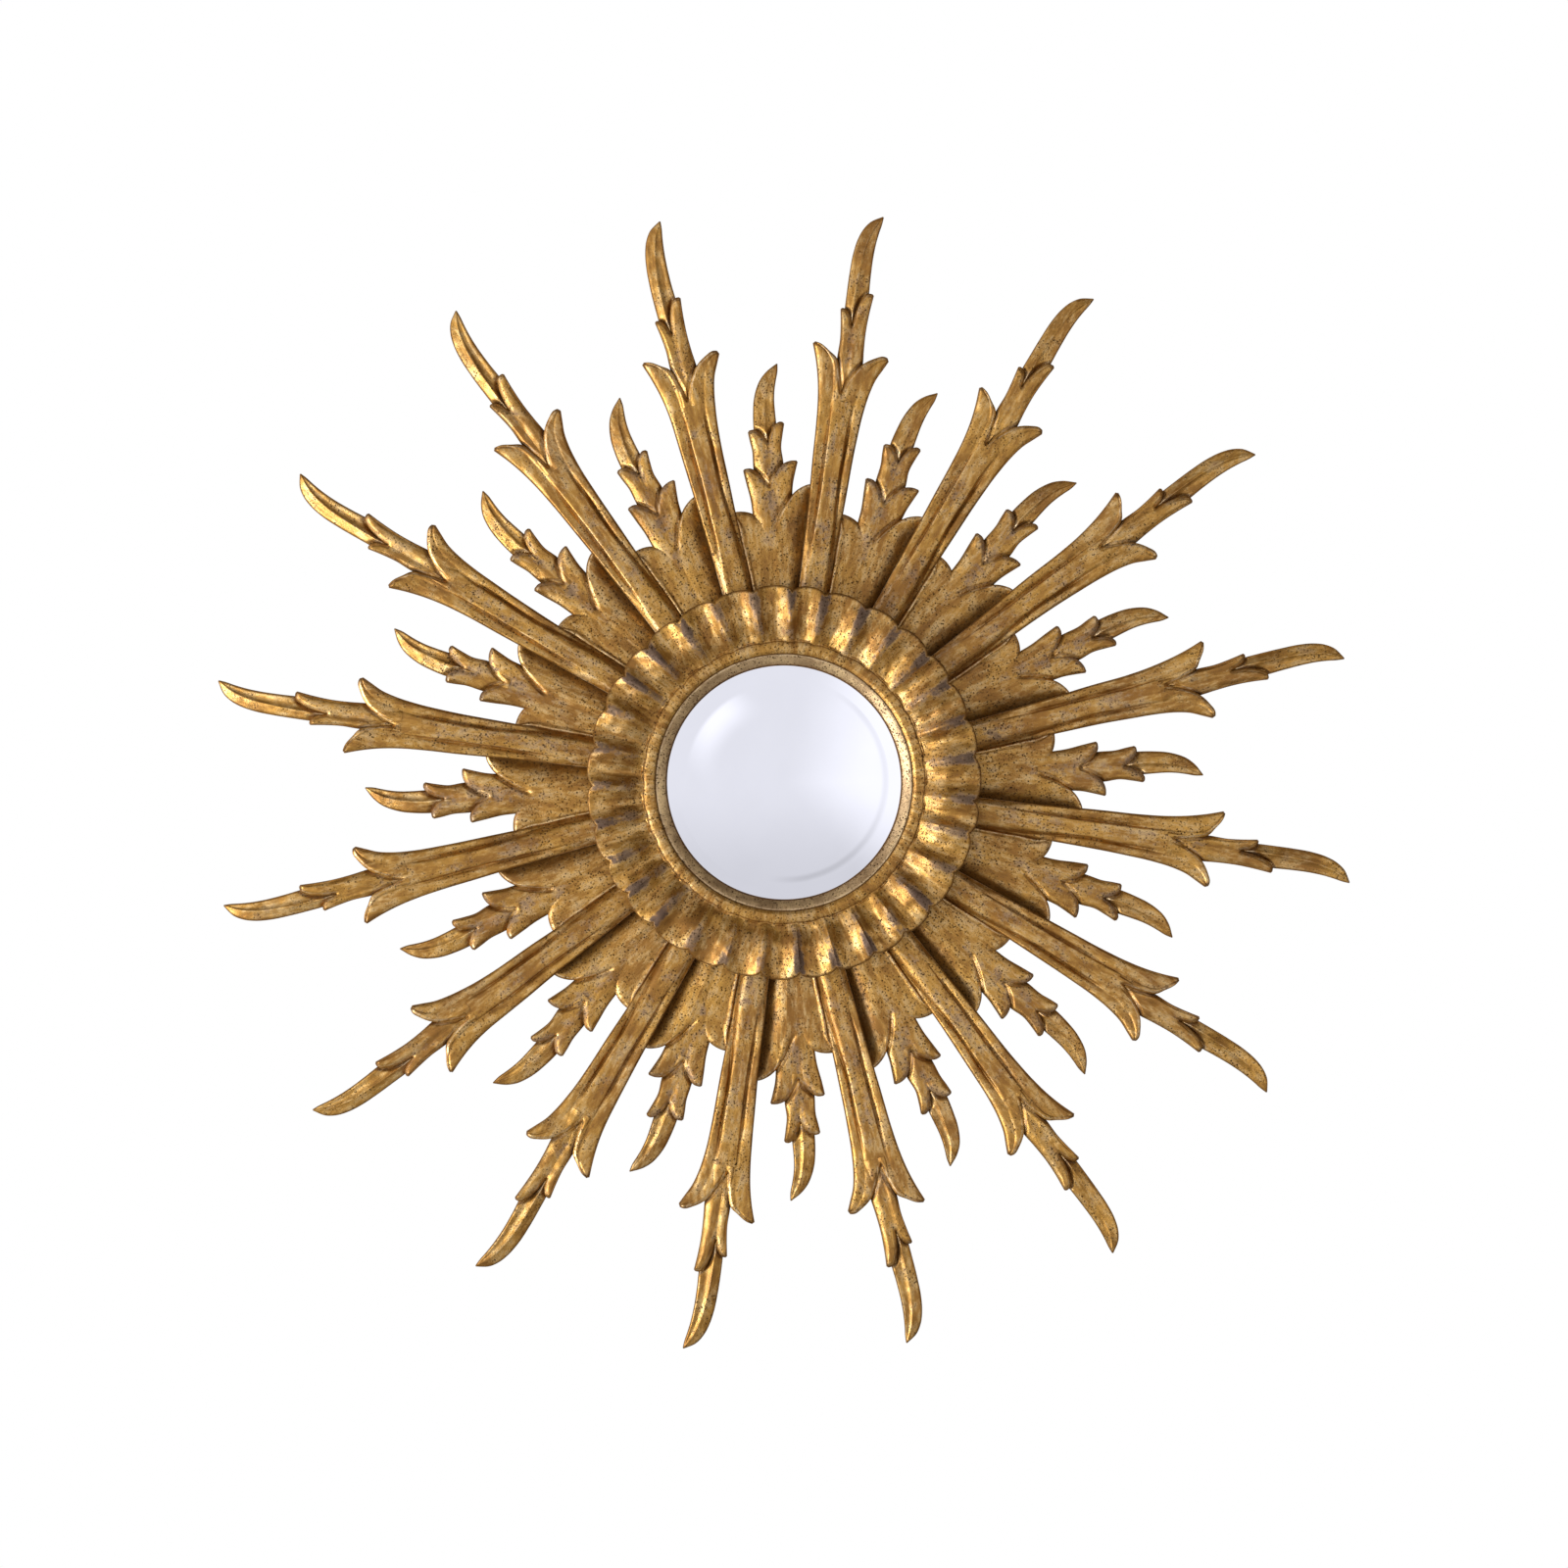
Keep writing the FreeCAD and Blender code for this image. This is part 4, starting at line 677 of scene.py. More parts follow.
def ring_shell(carving):
    """The fluted ring: one closed profile carried round the axis, with a rounded hollow between every two ridges.

    Across a flute a runs from -1 to 1. Its hollow is cos(a pi / 2)^1.5, so that the ridges are as round as the
    hollows, and its rim swells by a scallop of 1 - |a|^3. From the bead to the rim w runs from 0 to 1: the floor
    climbs from the bead, and the ridges stand above it. Each flute has its own width, depth, lean and scallop.
    """
    rng = np.random.default_rng(carving.seed)
    uneven = carving.unevenness

    def varied(low, high):
        return uneven * rng.uniform(low, high, FLUTES)

    pitch = 2 * np.pi / FLUTES
    ridges = math.radians(FIRST_RIDGE_ANGLE) + pitch * (np.arange(FLUTES) + varied(*FLUTE_SHIFT))
    widths = np.diff(np.append(ridges, ridges[0] + 2 * np.pi))
    step = np.linspace(-1, 1, FLUTE_COLUMNS, endpoint=False)
    angle = (ridges[:, None] + (step + 1) / 2 * widths[:, None]).ravel()
    a = np.tile(step, FLUTES)

    def per_flute(values):
        return np.repeat(values, FLUTE_COLUMNS)

    def between_ridges(values):
        return (values[:, None] * (1 - step) / 2 + np.roll(values, -1)[:, None] * (1 + step) / 2).ravel()

    def rows_of(radius, depth):
        return np.stack(np.broadcast_arrays(radius, depth, angle)[:2], axis=-1)

    depth = carving.flute_depth / MM * per_flute(1 + varied(*FLUTE_DEPTH))
    scallop = carving.scallop_depth / MM * per_flute(1 + varied(*FLUTE_SCALLOP))
    lean = per_flute(varied(*FLUTE_LEAN)) * (1 - a ** 2)
    ridge_rise = between_ridges(varied(*RIDGE_RISE))
    ridge_wear = between_ridges(1 - varied(*RIDGE_GILT))
    bowl = np.cos(np.pi / 2 * np.clip(a + lean, -1, 1)) ** 1.5
    swell = 1 - np.abs(a) ** 3

    # The flutes: the floor, the ridges that grow from the bead and sink a little at the rim, and the gouge's marks
    w = np.linspace(CROWN_START, 1, CROWN_ROWS)[:, None]
    floor = np.interp(w, *smooth_curve(FLUTE_FLOOR, count=400).T) * CROWN_CREST
    ridge_height = depth * (1 - bowl) * (0.35 + 0.65 * ease(0, 0.4, w) - 0.3 * ease(0.75, 1.0, w))
    outer = CROWN_OUTER - scallop * (1 - swell)
    radius = CROWN_INNER + w * (outer - CROWN_INNER)
    around = angle[None, :] * FLUTE_MIDDLE
    chatter = uneven * (ripple(around, radius, rng, waves=8, length=12, size=0.2)
                        + ripple(around, radius, rng, waves=8, length=34, size=0.3)
                        + ripple(around, radius * STROKE, rng, waves=10, length=5, size=0.12))
    height = floor + ridge_height + (ridge_rise + chatter) * ease(0, 0.15, w) - rolled(1 - w, RIM_ROLL)
    flute = rows_of(radius, RING_BACK - np.minimum(height, CROWN_CREST))

    # The bead, and the lip that swells from it into each flute
    lip_around, level = angle * LIP_MIDDLE, angle * 0
    wave = LIP_SWELL * (1 - np.abs(a) ** 2.5) - LIP_MEAN
    wave = wave + uneven * ripple(lip_around, level, rng, waves=8, length=14, size=0.4)
    bead_share = np.linspace(0, 1, BEAD_ROWS)[:, None]
    bead_radius = BEAD_INNER + BEAD_CHAMFER + bead_share * (CROWN_INNER - BEAD_INNER - BEAD_MARGIN)
    bead_radius = bead_radius + wave * BEAD_SWAY * bead_share ** 4
    bead_depth = BEAD_SHOULDER - carving.bead_rise / MM * np.interp(bead_share, *np.array(BEAD_PROFILE).T)
    bead_around = angle[None, :] * BEAD_MIDDLE
    bead_depth = bead_depth - uneven * ripple(bead_around, bead_radius, rng, waves=6, length=18, size=0.12)
    bead = rows_of(bead_radius, bead_depth)
    lip_step, lip_rise, lip_rub_and_sheen = np.array(LIP_PROFILE).T[..., None]
    lip_rise = lip_rise * (1 + ripple(lip_around, level, rng, waves=6, length=20, size=0.3))
    lip = rows_of(CROWN_INNER + wave * LIP_SWAY + lip_step, BEAD_SHOULDER - lip_rise)

    # The wall behind the rim, the back, and the whole profile
    wall_step, wall_depth = np.array(RIM_WALL).T[..., None]
    wall = rows_of(flute[-1, :, 0] - wall_step, wall_depth)
    rows = np.concatenate([bead, lip, flute, wall, rows_of(*np.array(RING_BEHIND).T[..., None])])

    # Dirt and painted shade beside the bead, painted shade at the rim and behind; rubbed crests with a painted
    # highlight on the lip, inside the rim and on the flute walls; wear along the ridges
    relief = np.zeros(rows.shape[:2] + (3,))
    hollow, crest, worn = (relief[..., part] for part in range(3))
    lips = slice(len(bead), len(bead) + len(lip))
    flutes = slice(lips.stop, lips.stop + CROWN_ROWS)
    hollow[:lips.start] = 0.6 * (1 - ease(0, 0.1, bead_share)) + 0.7 * ease(0.8, 1, bead_share)
    crest[lips] = lip_rub_and_sheen
    hollow[flutes] = 0.1 * (1 - ease(0, 0.12, w)) * bowl + 0.5 * ease(0.94, 0.965, w) + 0.45 * ease(0.97, 1, w)
    crest[flutes] = 0.15 * bell(w, 0.92, 0.03) + 0.1 * bell(np.abs(a), 0.55, 0.1)
    ridge = (1 - ease(0.16, 0.42, 1 - np.abs(a))) * ridge_wear
    worn[flutes] = (ridge * (0.3 + 0.3 * ease(0.05, 0.2, w) + 0.4 * ease(0.35, 0.75, w))
                    * (1 - 0.6 * ease(0.93, 0.98, w)))
    hollow[flutes.stop:] = 0.8

    points = carried_round(rows[..., 0], rows[..., 1], angle)
    brush = carried_round(FLUTE_MIDDLE, rows[..., 0] * STROKE, angle)
    shell = Shell()
    shell.grid(points, np.clip(relief, 0, 1), brush, wrap_rows=True, wrap_columns=True)
    return shell


def lathe(profile, relief=((0.0, 0.0, 0.0),), closed=True):
    """A profile of (radius, depth) points, with relief at each, carried round the axis."""
    radius, depth = np.asarray(profile, float).T[..., None]
    points = carried_round(radius, depth, np.linspace(0, 2 * np.pi, LATHE_COLUMNS, endpoint=False))
    brush = points * (STROKE, 1, STROKE) + [0, 1, 0] * radius[..., None]
    shell = Shell()
    shell.grid(points, np.asarray(relief)[:, None], brush, wrap_rows=closed, wrap_columns=True)
    return shell


def slip_profile():
    """The slip's profile and relief: a sloping face between two rounded arrises, and the rabbet behind it."""
    share = np.linspace(0, 1, SLIP_ROWS)
    radius = SIGHT_RADIUS + share * (SLIP_FACE_RADIUS - SIGHT_RADIUS)
    depth = SLIP_LIP_FRONT + share * (SLIP_FACE_FRONT - SLIP_LIP_FRONT) - SLIP_SWELL * np.sin(np.pi * share)
    roll = SLIP_ARRIS * (decay(share, 0.05) + decay(1 - share, 0.06))
    face = np.column_stack([radius, depth + roll])
    relief = np.zeros((len(face) + len(SLIP_BEHIND), 3))
    # Darker at both arrises and behind, dirt with painted shade; a rubbed band with a painted highlight near the outer
    # arris
    relief[:len(face), 0] = 0.9 * decay(share, 0.12) + 0.8 * decay(1 - share, 0.07)
    relief[:len(face), 1] = 0.7 * bell(share, 0.88, 0.07)
    relief[len(face):, 0] = 0.9
    return np.concatenate([face, SLIP_BEHIND]), np.clip(relief, 0, 1)


def glass_profile(form):
    """The domed glass: depth follows a sphere, and past the bevel's line it falls away by a further slope."""
    curve = form.curve_radius / MM

    def fall(radius):
        return curve - np.sqrt(curve ** 2 - radius ** 2)

    # Rows lie close together over the bevel's line
    line = SIGHT_RADIUS - form.bevel_width / MM
    end = GLASS_RADIUS - GLASS_ARRIS
    radius = np.concatenate([np.linspace(0.0, line - 0.8, 40), np.linspace(line - 0.5, line + 0.8, 8),
                             np.linspace(line + 1.4, end, 8)])
    past = radius - line
    bevel = math.tan(form.bevel_angle) * 0.5 * (past + np.sqrt(past ** 2 + BEVEL_SOFTNESS ** 2))
    front = np.column_stack([radius, GLASS_CROWN + fall(radius) + bevel])
    back_radius = np.linspace(end, 0, 24)
    back = np.column_stack([back_radius, GLASS_CROWN + GLASS_THICKNESS + fall(back_radius)])
    edge = [(GLASS_RADIUS, front[-1, 1] + GLASS_ARRIS),
            (GLASS_RADIUS, GLASS_CROWN + fall(GLASS_RADIUS) + GLASS_THICKNESS - GLASS_ARRIS)]
    return np.concatenate([front, edge, back])


# Shader maths
class Value:
    """A socket of a node tree. Python's operators on it add Math nodes."""

    def __init__(self, tree, socket=None):
        self.tree, self.socket = tree, socket

    def node(self, kind, sockets=(), output=0, **settings):
        """Add any node: its settings first, then the values or links of its sockets."""
        made = self.tree.nodes.new(kind)
        for name, setting in settings.items():
            setattr(made, name, setting)
        for key, value in dict(sockets).items():
            if isinstance(value, Value):
                self.tree.links.new(value.socket, made.inputs[key])
            else:
                made.inputs[key].default_value = value
        return Value(self.tree, made.outputs[output] if len(made.outputs) else None)

    def output(self, key):
        """Another output of the node that this value comes from."""
        return Value(self.tree, self.socket.node.outputs[key])

    def maths(self, operation, *others):
        return self.node("ShaderNodeMath", enumerate((self,) + others), operation=operation)

    def __add__(self, other):
        return self.maths("ADD", other)

    __radd__ = __add__

    def __mul__(self, other):
        return self.maths("MULTIPLY", other)

    __rmul__ = __mul__

    def __sub__(self, other):
        return self.maths("SUBTRACT", other)

    def __rsub__(self, other):
        return self.node("ShaderNodeMath", {0: other, 1: self}, operation="SUBTRACT")

    def __abs__(self):
        return self.maths("ABSOLUTE")

    def larger(self, other):
        return self.maths("MAXIMUM", other)

    def band(self, low, high, to_low=0.0, to_high=1.0):
        """A smooth step from to_low at low to to_high at high."""
        return self.node("ShaderNodeMapRange", {"Value": self, "From Min": low, "From Max": high, "To Min": to_low,
                                                "To Max": to_high}, interpolation_type="SMOOTHSTEP")

    def tint(self, under, over):
        """Mix two colours by this value."""
        under, over = (end if isinstance(end, Value) else (*end, 1.0) for end in (under, over))
        return self.node("ShaderNodeMix", {0: self, 6: under, 7: over}, output=2, data_type="RGBA")

    def axes(self):
        """The three parts of this vector."""
        parts = self.node("ShaderNodeSeparateXYZ", {0: self})
        return parts, parts.output(1), parts.output(2)

    def noise(self, scale, detail=2.0, roughness=0.5):
        """Noise over this vector."""
        return self.node("ShaderNodeTexNoise", {"Vector": self, "Scale": scale, "Detail": detail,
                                                "Roughness": roughness}, output="Fac")

    def rings(self, direction, scale, distortion, detail_scale=1.0):
        """Wavering bands over this vector."""
        return self.node("ShaderNodeTexWave", {"Vector": self, "Scale": scale, "Distortion": distortion, "Detail": 3.0,
                                               "Detail Scale": detail_scale}, output="Fac", bands_direction=direction)

    def spread(self, low=0.0, high=1.0):
        """This noise, from its usual range to low and high."""
        return self.band(0.3, 0.7, low, high)

    def swing(self, size):
        """This noise about its middle, times a size."""
        return (self - 0.5) * size

    def stretched(self, x, y, z):
        """This vector scaled along each axis."""
        return self.node("ShaderNodeMapping", {"Vector": self, "Scale": (x, y, z)})

    def bump(self, distance, strength=1.0):
        """A normal from this height."""
        return self.node("ShaderNodeBump", {"Height": self, "Distance": distance, "Strength": strength},
                         output="Normal")

    def seen(self):
        """Is Camera Ray of this tree's Light Path."""
        return self.node("ShaderNodeLightPath", output="Is Camera Ray")


def bare_tree(owner):
    """The start of a material's or the world's node tree, with no nodes in it."""
    owner.use_nodes = True
    owner.node_tree.nodes.clear()
    return Value(owner.node_tree)


# Finishes: each takes the object coordinates and its settings, and returns what goes into the Principled sockets
def new_material(name, finish, *settings):
    """A material with a finish."""
    material = bpy.data.materials.new(name)
    place = bare_tree(material).node("ShaderNodeTexCoord", output="Object")
    shader = place.node("ShaderNodeBsdfPrincipled", finish(place, *settings), output="BSDF")
    place.node("ShaderNodeOutputMaterial", {"Surface": shader})
    return material


def gilding(place, finish, leaf, deep_leaf):
    """Old water gilding: brushed leaf in several tones, rubbed bright on crests with a painted highlight, worn on ribs,
    grime and painted shade in hollows, and specks.
    """
    relief = place.node("ShaderNodeAttribute", output="Color", attribute_name="relief")
    hollow = place.node("ShaderNodeSeparateColor", {0: relief})
    crest, worn = hollow.output(1), hollow.output(2)
    brush = place.node("ShaderNodeAttribute", output="Vector", attribute_name="brush")
    near = place.node("ShaderNodeVectorMath", {0: place}, output="Value", operation="LENGTH").band(0.32, 0.17)
    broad = place.noise(20, 3, 0.55)
    patches = place.noise(70, 4, 0.62)
    fine = place.noise(300, 4, 0.7)
    grain = place.noise(950, 3, 0.65)
    strokes = brush.noise(130, 4, 0.6)
    streak = brush.noise(420, 4, 0.65)

    # Tones of the leaf and the glaze over it
    toned = (broad * 0.3 + strokes * 0.4 + patches * 0.15 + streak * 0.15).band(0.41, 0.57)
    thin = (strokes * 0.35 + patches * 0.3 + streak * 0.35).band(0.46, 0.64, 0, 0.8)
    glazed = (grain * 0.4 + streak * 0.3 + strokes * 0.3).band(0.48, 0.36, 0, 0.5)
    colour = thin.tint(toned.tint(deep_leaf, leaf), finish.pale_leaf)
    colour = glazed.tint(colour, finish.umber_glaze)

    # Leaf rubbed through to the clay, burnished on the crests with a painted highlight, and gone from the ribs
    rubbed = (patches * 0.6 + streak * 0.4 + crest * 0.06).band(0.57, 0.7, 0, 0.75)
    colour = rubbed.tint(colour, finish.clay)
    burnish_and_sheen = (crest * 0.9 + streak.swing(0.7)).band(0.3, 0.85)
    colour = (burnish_and_sheen * 0.85).tint(colour, finish.burnish_and_sheen_leaf)
    wear = (worn + patches.swing(1.5) + fine.swing(1.2) + streak.swing(0.6)).band(0.2, 0.72, 0, 0.92)
    wear = wear * worn.band(0, 0.2, 0.25, 1)
    colour = wear.tint(colour, worn.band(0.36, 0.78).tint(finish.rubbed_rib, finish.worn_ridge))

    # Dirt and painted shade in the hollows, darker towards the middle, then specks and pits, thicker near the middle
    dirt_and_shade = (hollow + patches.swing(0.9) + fine.swing(0.7) + near * 0.07).band(0.15, 0.9, 0, 0.85)
    colour = dirt_and_shade.tint(colour, finish.dirt_and_shade)
    cells = place.node("ShaderNodeTexVoronoi", {"Vector": place, "Scale": 420.0, "Randomness": 1.0}, output="Distance")
    crowd = (patches * 0.5 + broad * 0.3 + streak * 0.2 + near * 0.06).band(0.43, 0.57)
    specks = (1 - cells.band(0.2, 0.42)) * crowd * fine.band(0.42, 0.52)
    pits = grain.band(0.55, 0.64) * crowd.band(0, 1, 0.3, 1)
    dark = specks.larger(pits * 0.8)
    colour = (dark * 0.9).tint(colour, finish.speck)

    spoiled = dirt_and_shade.larger(wear * 0.75).larger(rubbed * 0.6)
    dull = spoiled.larger(dark)
    height = patches * 0.55 + strokes * 0.35 + fine * 0.15 + grain * 0.1 + streak * 0.25 - dark * 0.15
    return {
        "Base Color": colour,
        "Metallic": spoiled.band(0, 1, finish.metal, 0.35),
        "Roughness": dull.band(0, 1, 0.4, 0.66) + streak.swing(0.25) - burnish_and_sheen * 0.04,
        "Coat Weight": dull.band(0, 1, finish.coat, 0.02),
        "Coat Roughness": 0.35,
        "Coat IOR": 1.6,
        "Specular IOR Level": 0.2,
        "Specular Tint": (1, 0.75, 0.45, 1),
        "Normal": height.bump(finish.roughcast, 0.8),
    }


def stained_wood(place, finish):
    """Sawn and stained wood behind the gilding."""
    streak = place.stretched(1, 1, 0.12).noise(160, 4, 0.6)
    cloud = place.noise(20, 3)
    return {
        "Base Color": (streak * 0.6 + cloud * 0.4).band(0.38, 0.62).tint(finish.back_dark, finish.back),
        "Roughness": streak.spread(0.6, 0.8),
        "Normal": streak.bump(0.0002, 0.7),
    }


def silvering(place, form):
    """The mirror's silver: clear, with a trace of unevenness."""
    clouded = [channel * 0.985 for channel in form.silver]
    return {
        "Base Color": place.noise(30, 3).spread().tint(form.silver, clouded),
        "Metallic": 1.0,
        "Roughness": place.noise(9, 2).spread(0.012, 0.03),
    }


def backing_paint(place):
    """The grey-brown paint behind the silver."""
    cloud = place.noise(45, 4, 0.6)
    return {
        "Base Color": cloud.band(0.35, 0.65).tint((0.06, 0.05, 0.045), (0.1, 0.085, 0.075)),
        "Roughness": cloud.spread(0.45, 0.6),
    }


def plywood(place, finish):
    """Birch plywood: long figure on the faces and thin plies along the edge."""
    warp = place.noise(11, 3)
    figure = place.stretched(0.16, 1, 1).noise(75, 4, 0.6)
    rings = place.stretched(0.14, 1, 1).rings("Z", 12.0, 9.0, detail_scale=1.6)
    plies = (place.axes()[1] * (2 * math.pi / PLY_PAIR)).maths("SINE").band(-0.2, 0.2)
    colour = (figure * 0.68 + rings * 0.12 + warp * 0.2).spread().tint(finish.board_dark, finish.board)
    return {
        "Base Color": (plies * 0.3).tint(colour, finish.board_dark),
        "Roughness": figure.spread(0.5, 0.68),
        "Normal": figure.bump(0.00012, 0.7),
    }


def hardboard(place, finish):
    """Brown pressed board with fine flecks and the faint mesh of its screen."""
    fleck = place.stretched(1, 1, 0.5).noise(420, 4, 0.7)
    cloud = place.noise(18, 3)
    x, _, z = place.axes()
    mesh = (x * SCREEN_RATE).maths("SINE") * (z * SCREEN_RATE).maths("SINE")
    flecked = (fleck * 0.65 + cloud * 0.35).band(0.36, 0.64)
    return {
        "Base Color": flecked.tint(finish.hardboard_dark, finish.hardboard),
        "Roughness": fleck.spread(0.6, 0.8),
        "Normal": (mesh * 0.25 + fleck).bump(0.00025, 0.8),
    }


def softwood(place, finish):
    """Pale turned pine with growth rings."""
    ring = place.stretched(1, 0.3, 1).rings("X", 60.0, 5.0)
    fibre = place.stretched(1, 0.2, 1).noise(300, 3)
    return {
        "Base Color": (ring * 0.6 + fibre * 0.4).band(0.25, 0.75).tint(finish.pine, finish.pine_dark),
        "Roughness": fibre.spread(0.5, 0.7),
        "Normal": fibre.bump(0.0001, 0.6),
    }


def felt(place, finish):
    """Matted wool felt."""
    mat = place.noise(700, 5, 0.75)
    lint = place.stretched(1, 1, 0.25).noise(1500, 3, 0.7)
    return {
        "Base Color": (mat * 0.6 + lint * 0.4).spread().tint(finish.felt_dark, finish.felt),
        "Roughness": 0.95,
        "Sheen Weight": 0.4,
        "Normal": (mat + lint * 0.5).bump(0.0005, 0.9),
    }


def worked_metal(place, bright, dull, streaks):
    """Stamped metal with drawn streaks, dull patches and small dents."""
    drawn = place.stretched(1, 1, 0.08).noise(streaks, 3, 0.6)
    tarnish = place.noise(90, 4, 0.65).band(0.45, 0.7)
    dents = place.noise(260, 3)
    return {
        "Base Color": tarnish.tint(bright, dull),
        "Metallic": 1.0,
        "Roughness": tarnish.band(0, 1, 0.24, 0.48) + drawn.swing(0.2),
        "Normal": (drawn * 0.4 + dents * 0.6).bump(0.00008, 0.7),
    }


def pale_floor(place):
    """Pale ground that the camera sees a little brighter than the lamps make it."""
    cloud = place.noise(6, 2)
    return {
        "Base Color": cloud.spread().tint((0.86, 0.86, 0.865), (0.9, 0.9, 0.9)),
        "Roughness": cloud.spread(0.6, 0.7),
        "Emission Color": place.seen().tint((0, 0, 0), (0.42, 0.42, 0.42)),
        "Emission Strength": 1.0,
    }


# Properties
def metres(name, default, description, lowest=0.0):
    return FloatProperty(name=name, description=description, default=default, min=lowest, precision=5, unit="LENGTH")


def watts(name, default, description):
    return FloatProperty(name=name, description=description, default=default, min=0.0, unit="POWER")


def factor(name, default, description):
    return FloatProperty(name=name, description=description, default=default, min=0.0, max=2.0, subtype="FACTOR")


def paint(name, default, description):
    return FloatVectorProperty(name=name, description=description, default=default, min=0.0, max=1.0, size=3,
                               subtype="COLOR")


class RayCarving(bpy.types.PropertyGroup):
    """How the rays are carved."""
    edge_round: metres("Edge rounding", 0.0019, "Width of the rolled edge round every leaf")
    chamfer_width: metres("Chamfer width", 0.0027, "Width of the chamfer along the notches")
    chamfer_depth: metres("Chamfer depth", 0.0018, "Depth of the chamfer along the notches")
    unevenness: metres("Unevenness", 0.00022, "How far the carved faces ripple")
    bend: metres("Bend", 0.0011, "How far a ray's tip may stand off its line")
    length_spread: metres("Length spread", 0.0012, "How much shorter than the pattern a ray may be")


class RingCarving(bpy.types.PropertyGroup):
    """How the centre ring is carved."""
    flute_depth: metres("Flute depth", 0.0072, "Depth of a flute below its ridges")
    scallop_depth: metres("Scallop depth", 0.0042, "How far the rim is cut back at the ridges")
    bead_rise: metres("Bead rise", 0.0018, "How far the bead inside the flutes stands up")
    unevenness: factor("Unevenness", 1.0, "How much the flutes differ from each other")
    seed: IntProperty(name="Seed", description="Chooses which flutes are wide, deep or leaning", default=31)


class GlassForm(bpy.types.PropertyGroup):
    """The convex glass."""
    curve_radius: metres("Curve radius", 0.33, "Radius of the sphere that the glass is part of")
    bevel_width: metres("Bevel width", 0.0096, "Width of the bevel inside the slip")
    bevel_angle: FloatProperty(name="Bevel angle", description="Slope of the bevel beyond the dome's own",
                               default=math.radians(2.2), min=0.0, subtype="ANGLE")
    silver: paint("Silver", (0.955, 0.958, 0.975), "Colour of the silvering")


class GiltFinish(bpy.types.PropertyGroup):
    """The gilding and its wear."""
    leaf: paint("Leaf", (0.535, 0.278, 0.05), "Gold leaf on the rays and ring")
    deep_leaf: paint("Deep leaf", (0.31, 0.138, 0.022), "Toned gold leaf")
    pale_leaf: paint("Pale leaf", (0.66, 0.46, 0.215), "Gold leaf where the glaze is thin")
    # Pale leaf on crests and chamfers, partly a painted highlight
    burnish_and_sheen_leaf: paint("Burnished leaf", (0.82, 0.64, 0.4), "Gold leaf polished on crests")
    slip_leaf: paint("Slip leaf", (0.52, 0.35, 0.178), "Greyer leaf on the slip")
    slip_deep_leaf: paint("Slip deep leaf", (0.35, 0.222, 0.105), "Toned leaf on the slip")
    umber_glaze: paint("Umber glaze", (0.15, 0.07, 0.018), "Brown glaze over the leaf")
    clay: paint("Clay", (0.26, 0.11, 0.035), "Red-brown clay under the leaf")
    rubbed_rib: paint("Rubbed rib", (0.34, 0.215, 0.125), "Grey-brown of ribs where the leaf is thin")
    worn_ridge: paint("Worn ridge", (0.11, 0.07, 0.055), "Dark grey-brown of the ridges where the leaf is gone")
    # Dark brown of dirt and of painted shade in hollows, round outlines, in notches and at steps
    dirt_and_shade: paint("Dirt", (0.13, 0.052, 0.01), "Dirt in the hollows")
    speck: paint("Specks", (0.035, 0.016, 0.005), "Dark specks")
    back: paint("Back", (0.2, 0.11, 0.05), "Stained wood behind")
    back_dark: paint("Back streaks", (0.09, 0.05, 0.025), "Dark streaks of the stained wood")
    metal: factor("Metal", 0.85, "How metallic clean leaf is")
    coat: factor("Varnish", 0.3, "Weight of the old varnish")
    roughcast: metres("Relief", 0.00065, "Height of the small pits and leaf edges")


class HardwareFinish(bpy.types.PropertyGroup):
    """The board, cover, felt and fittings behind."""
    board: paint("Board", (0.58, 0.41, 0.24), "Plywood")
    board_dark: paint("Board figure", (0.4, 0.25, 0.12), "Dark figure of the plywood")
    hardboard: paint("Hardboard", (0.26, 0.15, 0.075), "Back cover")
    hardboard_dark: paint("Hardboard flecks", (0.15, 0.08, 0.04), "Dark flecks of the back cover")
    pine: paint("Pine", (0.66, 0.47, 0.26), "Spacer behind the glass")
    pine_dark: paint("Pine rings", (0.48, 0.29, 0.13), "Growth rings of the spacer")
    felt: paint("Felt", (0.06, 0.065, 0.06), "Felt pads")
    felt_dark: paint("Felt shade", (0.025, 0.027, 0.026), "Darker fibres of the felt")
    brass: paint("Brass", (0.78, 0.55, 0.22), "Turn buttons")
    brass_dull: paint("Dull brass", (0.45, 0.3, 0.12), "Tarnish on the turn buttons")
    steel: paint("Steel", (0.62, 0.62, 0.6), "Zinc-plated hanger and screws")
    steel_dull: paint("Dull steel", (0.38, 0.38, 0.37), "Dull zinc")


class StageSetup(bpy.types.PropertyGroup):
    """Floor, light and camera."""
    photo_width: metres("Photo width", 1.248, "Width that the picture shows at the rays")
    camera_distance: metres("Camera distance", 6.0, "From the camera to the wall plane")
    aim_height: metres("Aim height", -0.0012, "Height that the camera looks at", lowest=-1.0)
    floor_level: metres("Floor level", -0.7, "Height of the floor under the mirror's axis", lowest=-5.0)
    key_power: watts("Key light", 54.0, "Power of the large soft lamp at the left")
    fill_power: watts("Fill light", 8.0, "Power of the weak lamp at the right")
    ambient: factor("Ambient light", 0.45, "Strength of the even light from all round")


# Pieces and stage
def gilt_materials(scene):
    """The gilding and the stained back, made once."""
    finish = scene.starburst_gilt
    front = bpy.data.materials.get("antique_gilding") or new_material(
        "antique_gilding", gilding, finish, finish.leaf, finish.deep_leaf)
    back = bpy.data.materials.get("stained_back") or new_material("stained_back", stained_wood, finish)
    return [front, back]


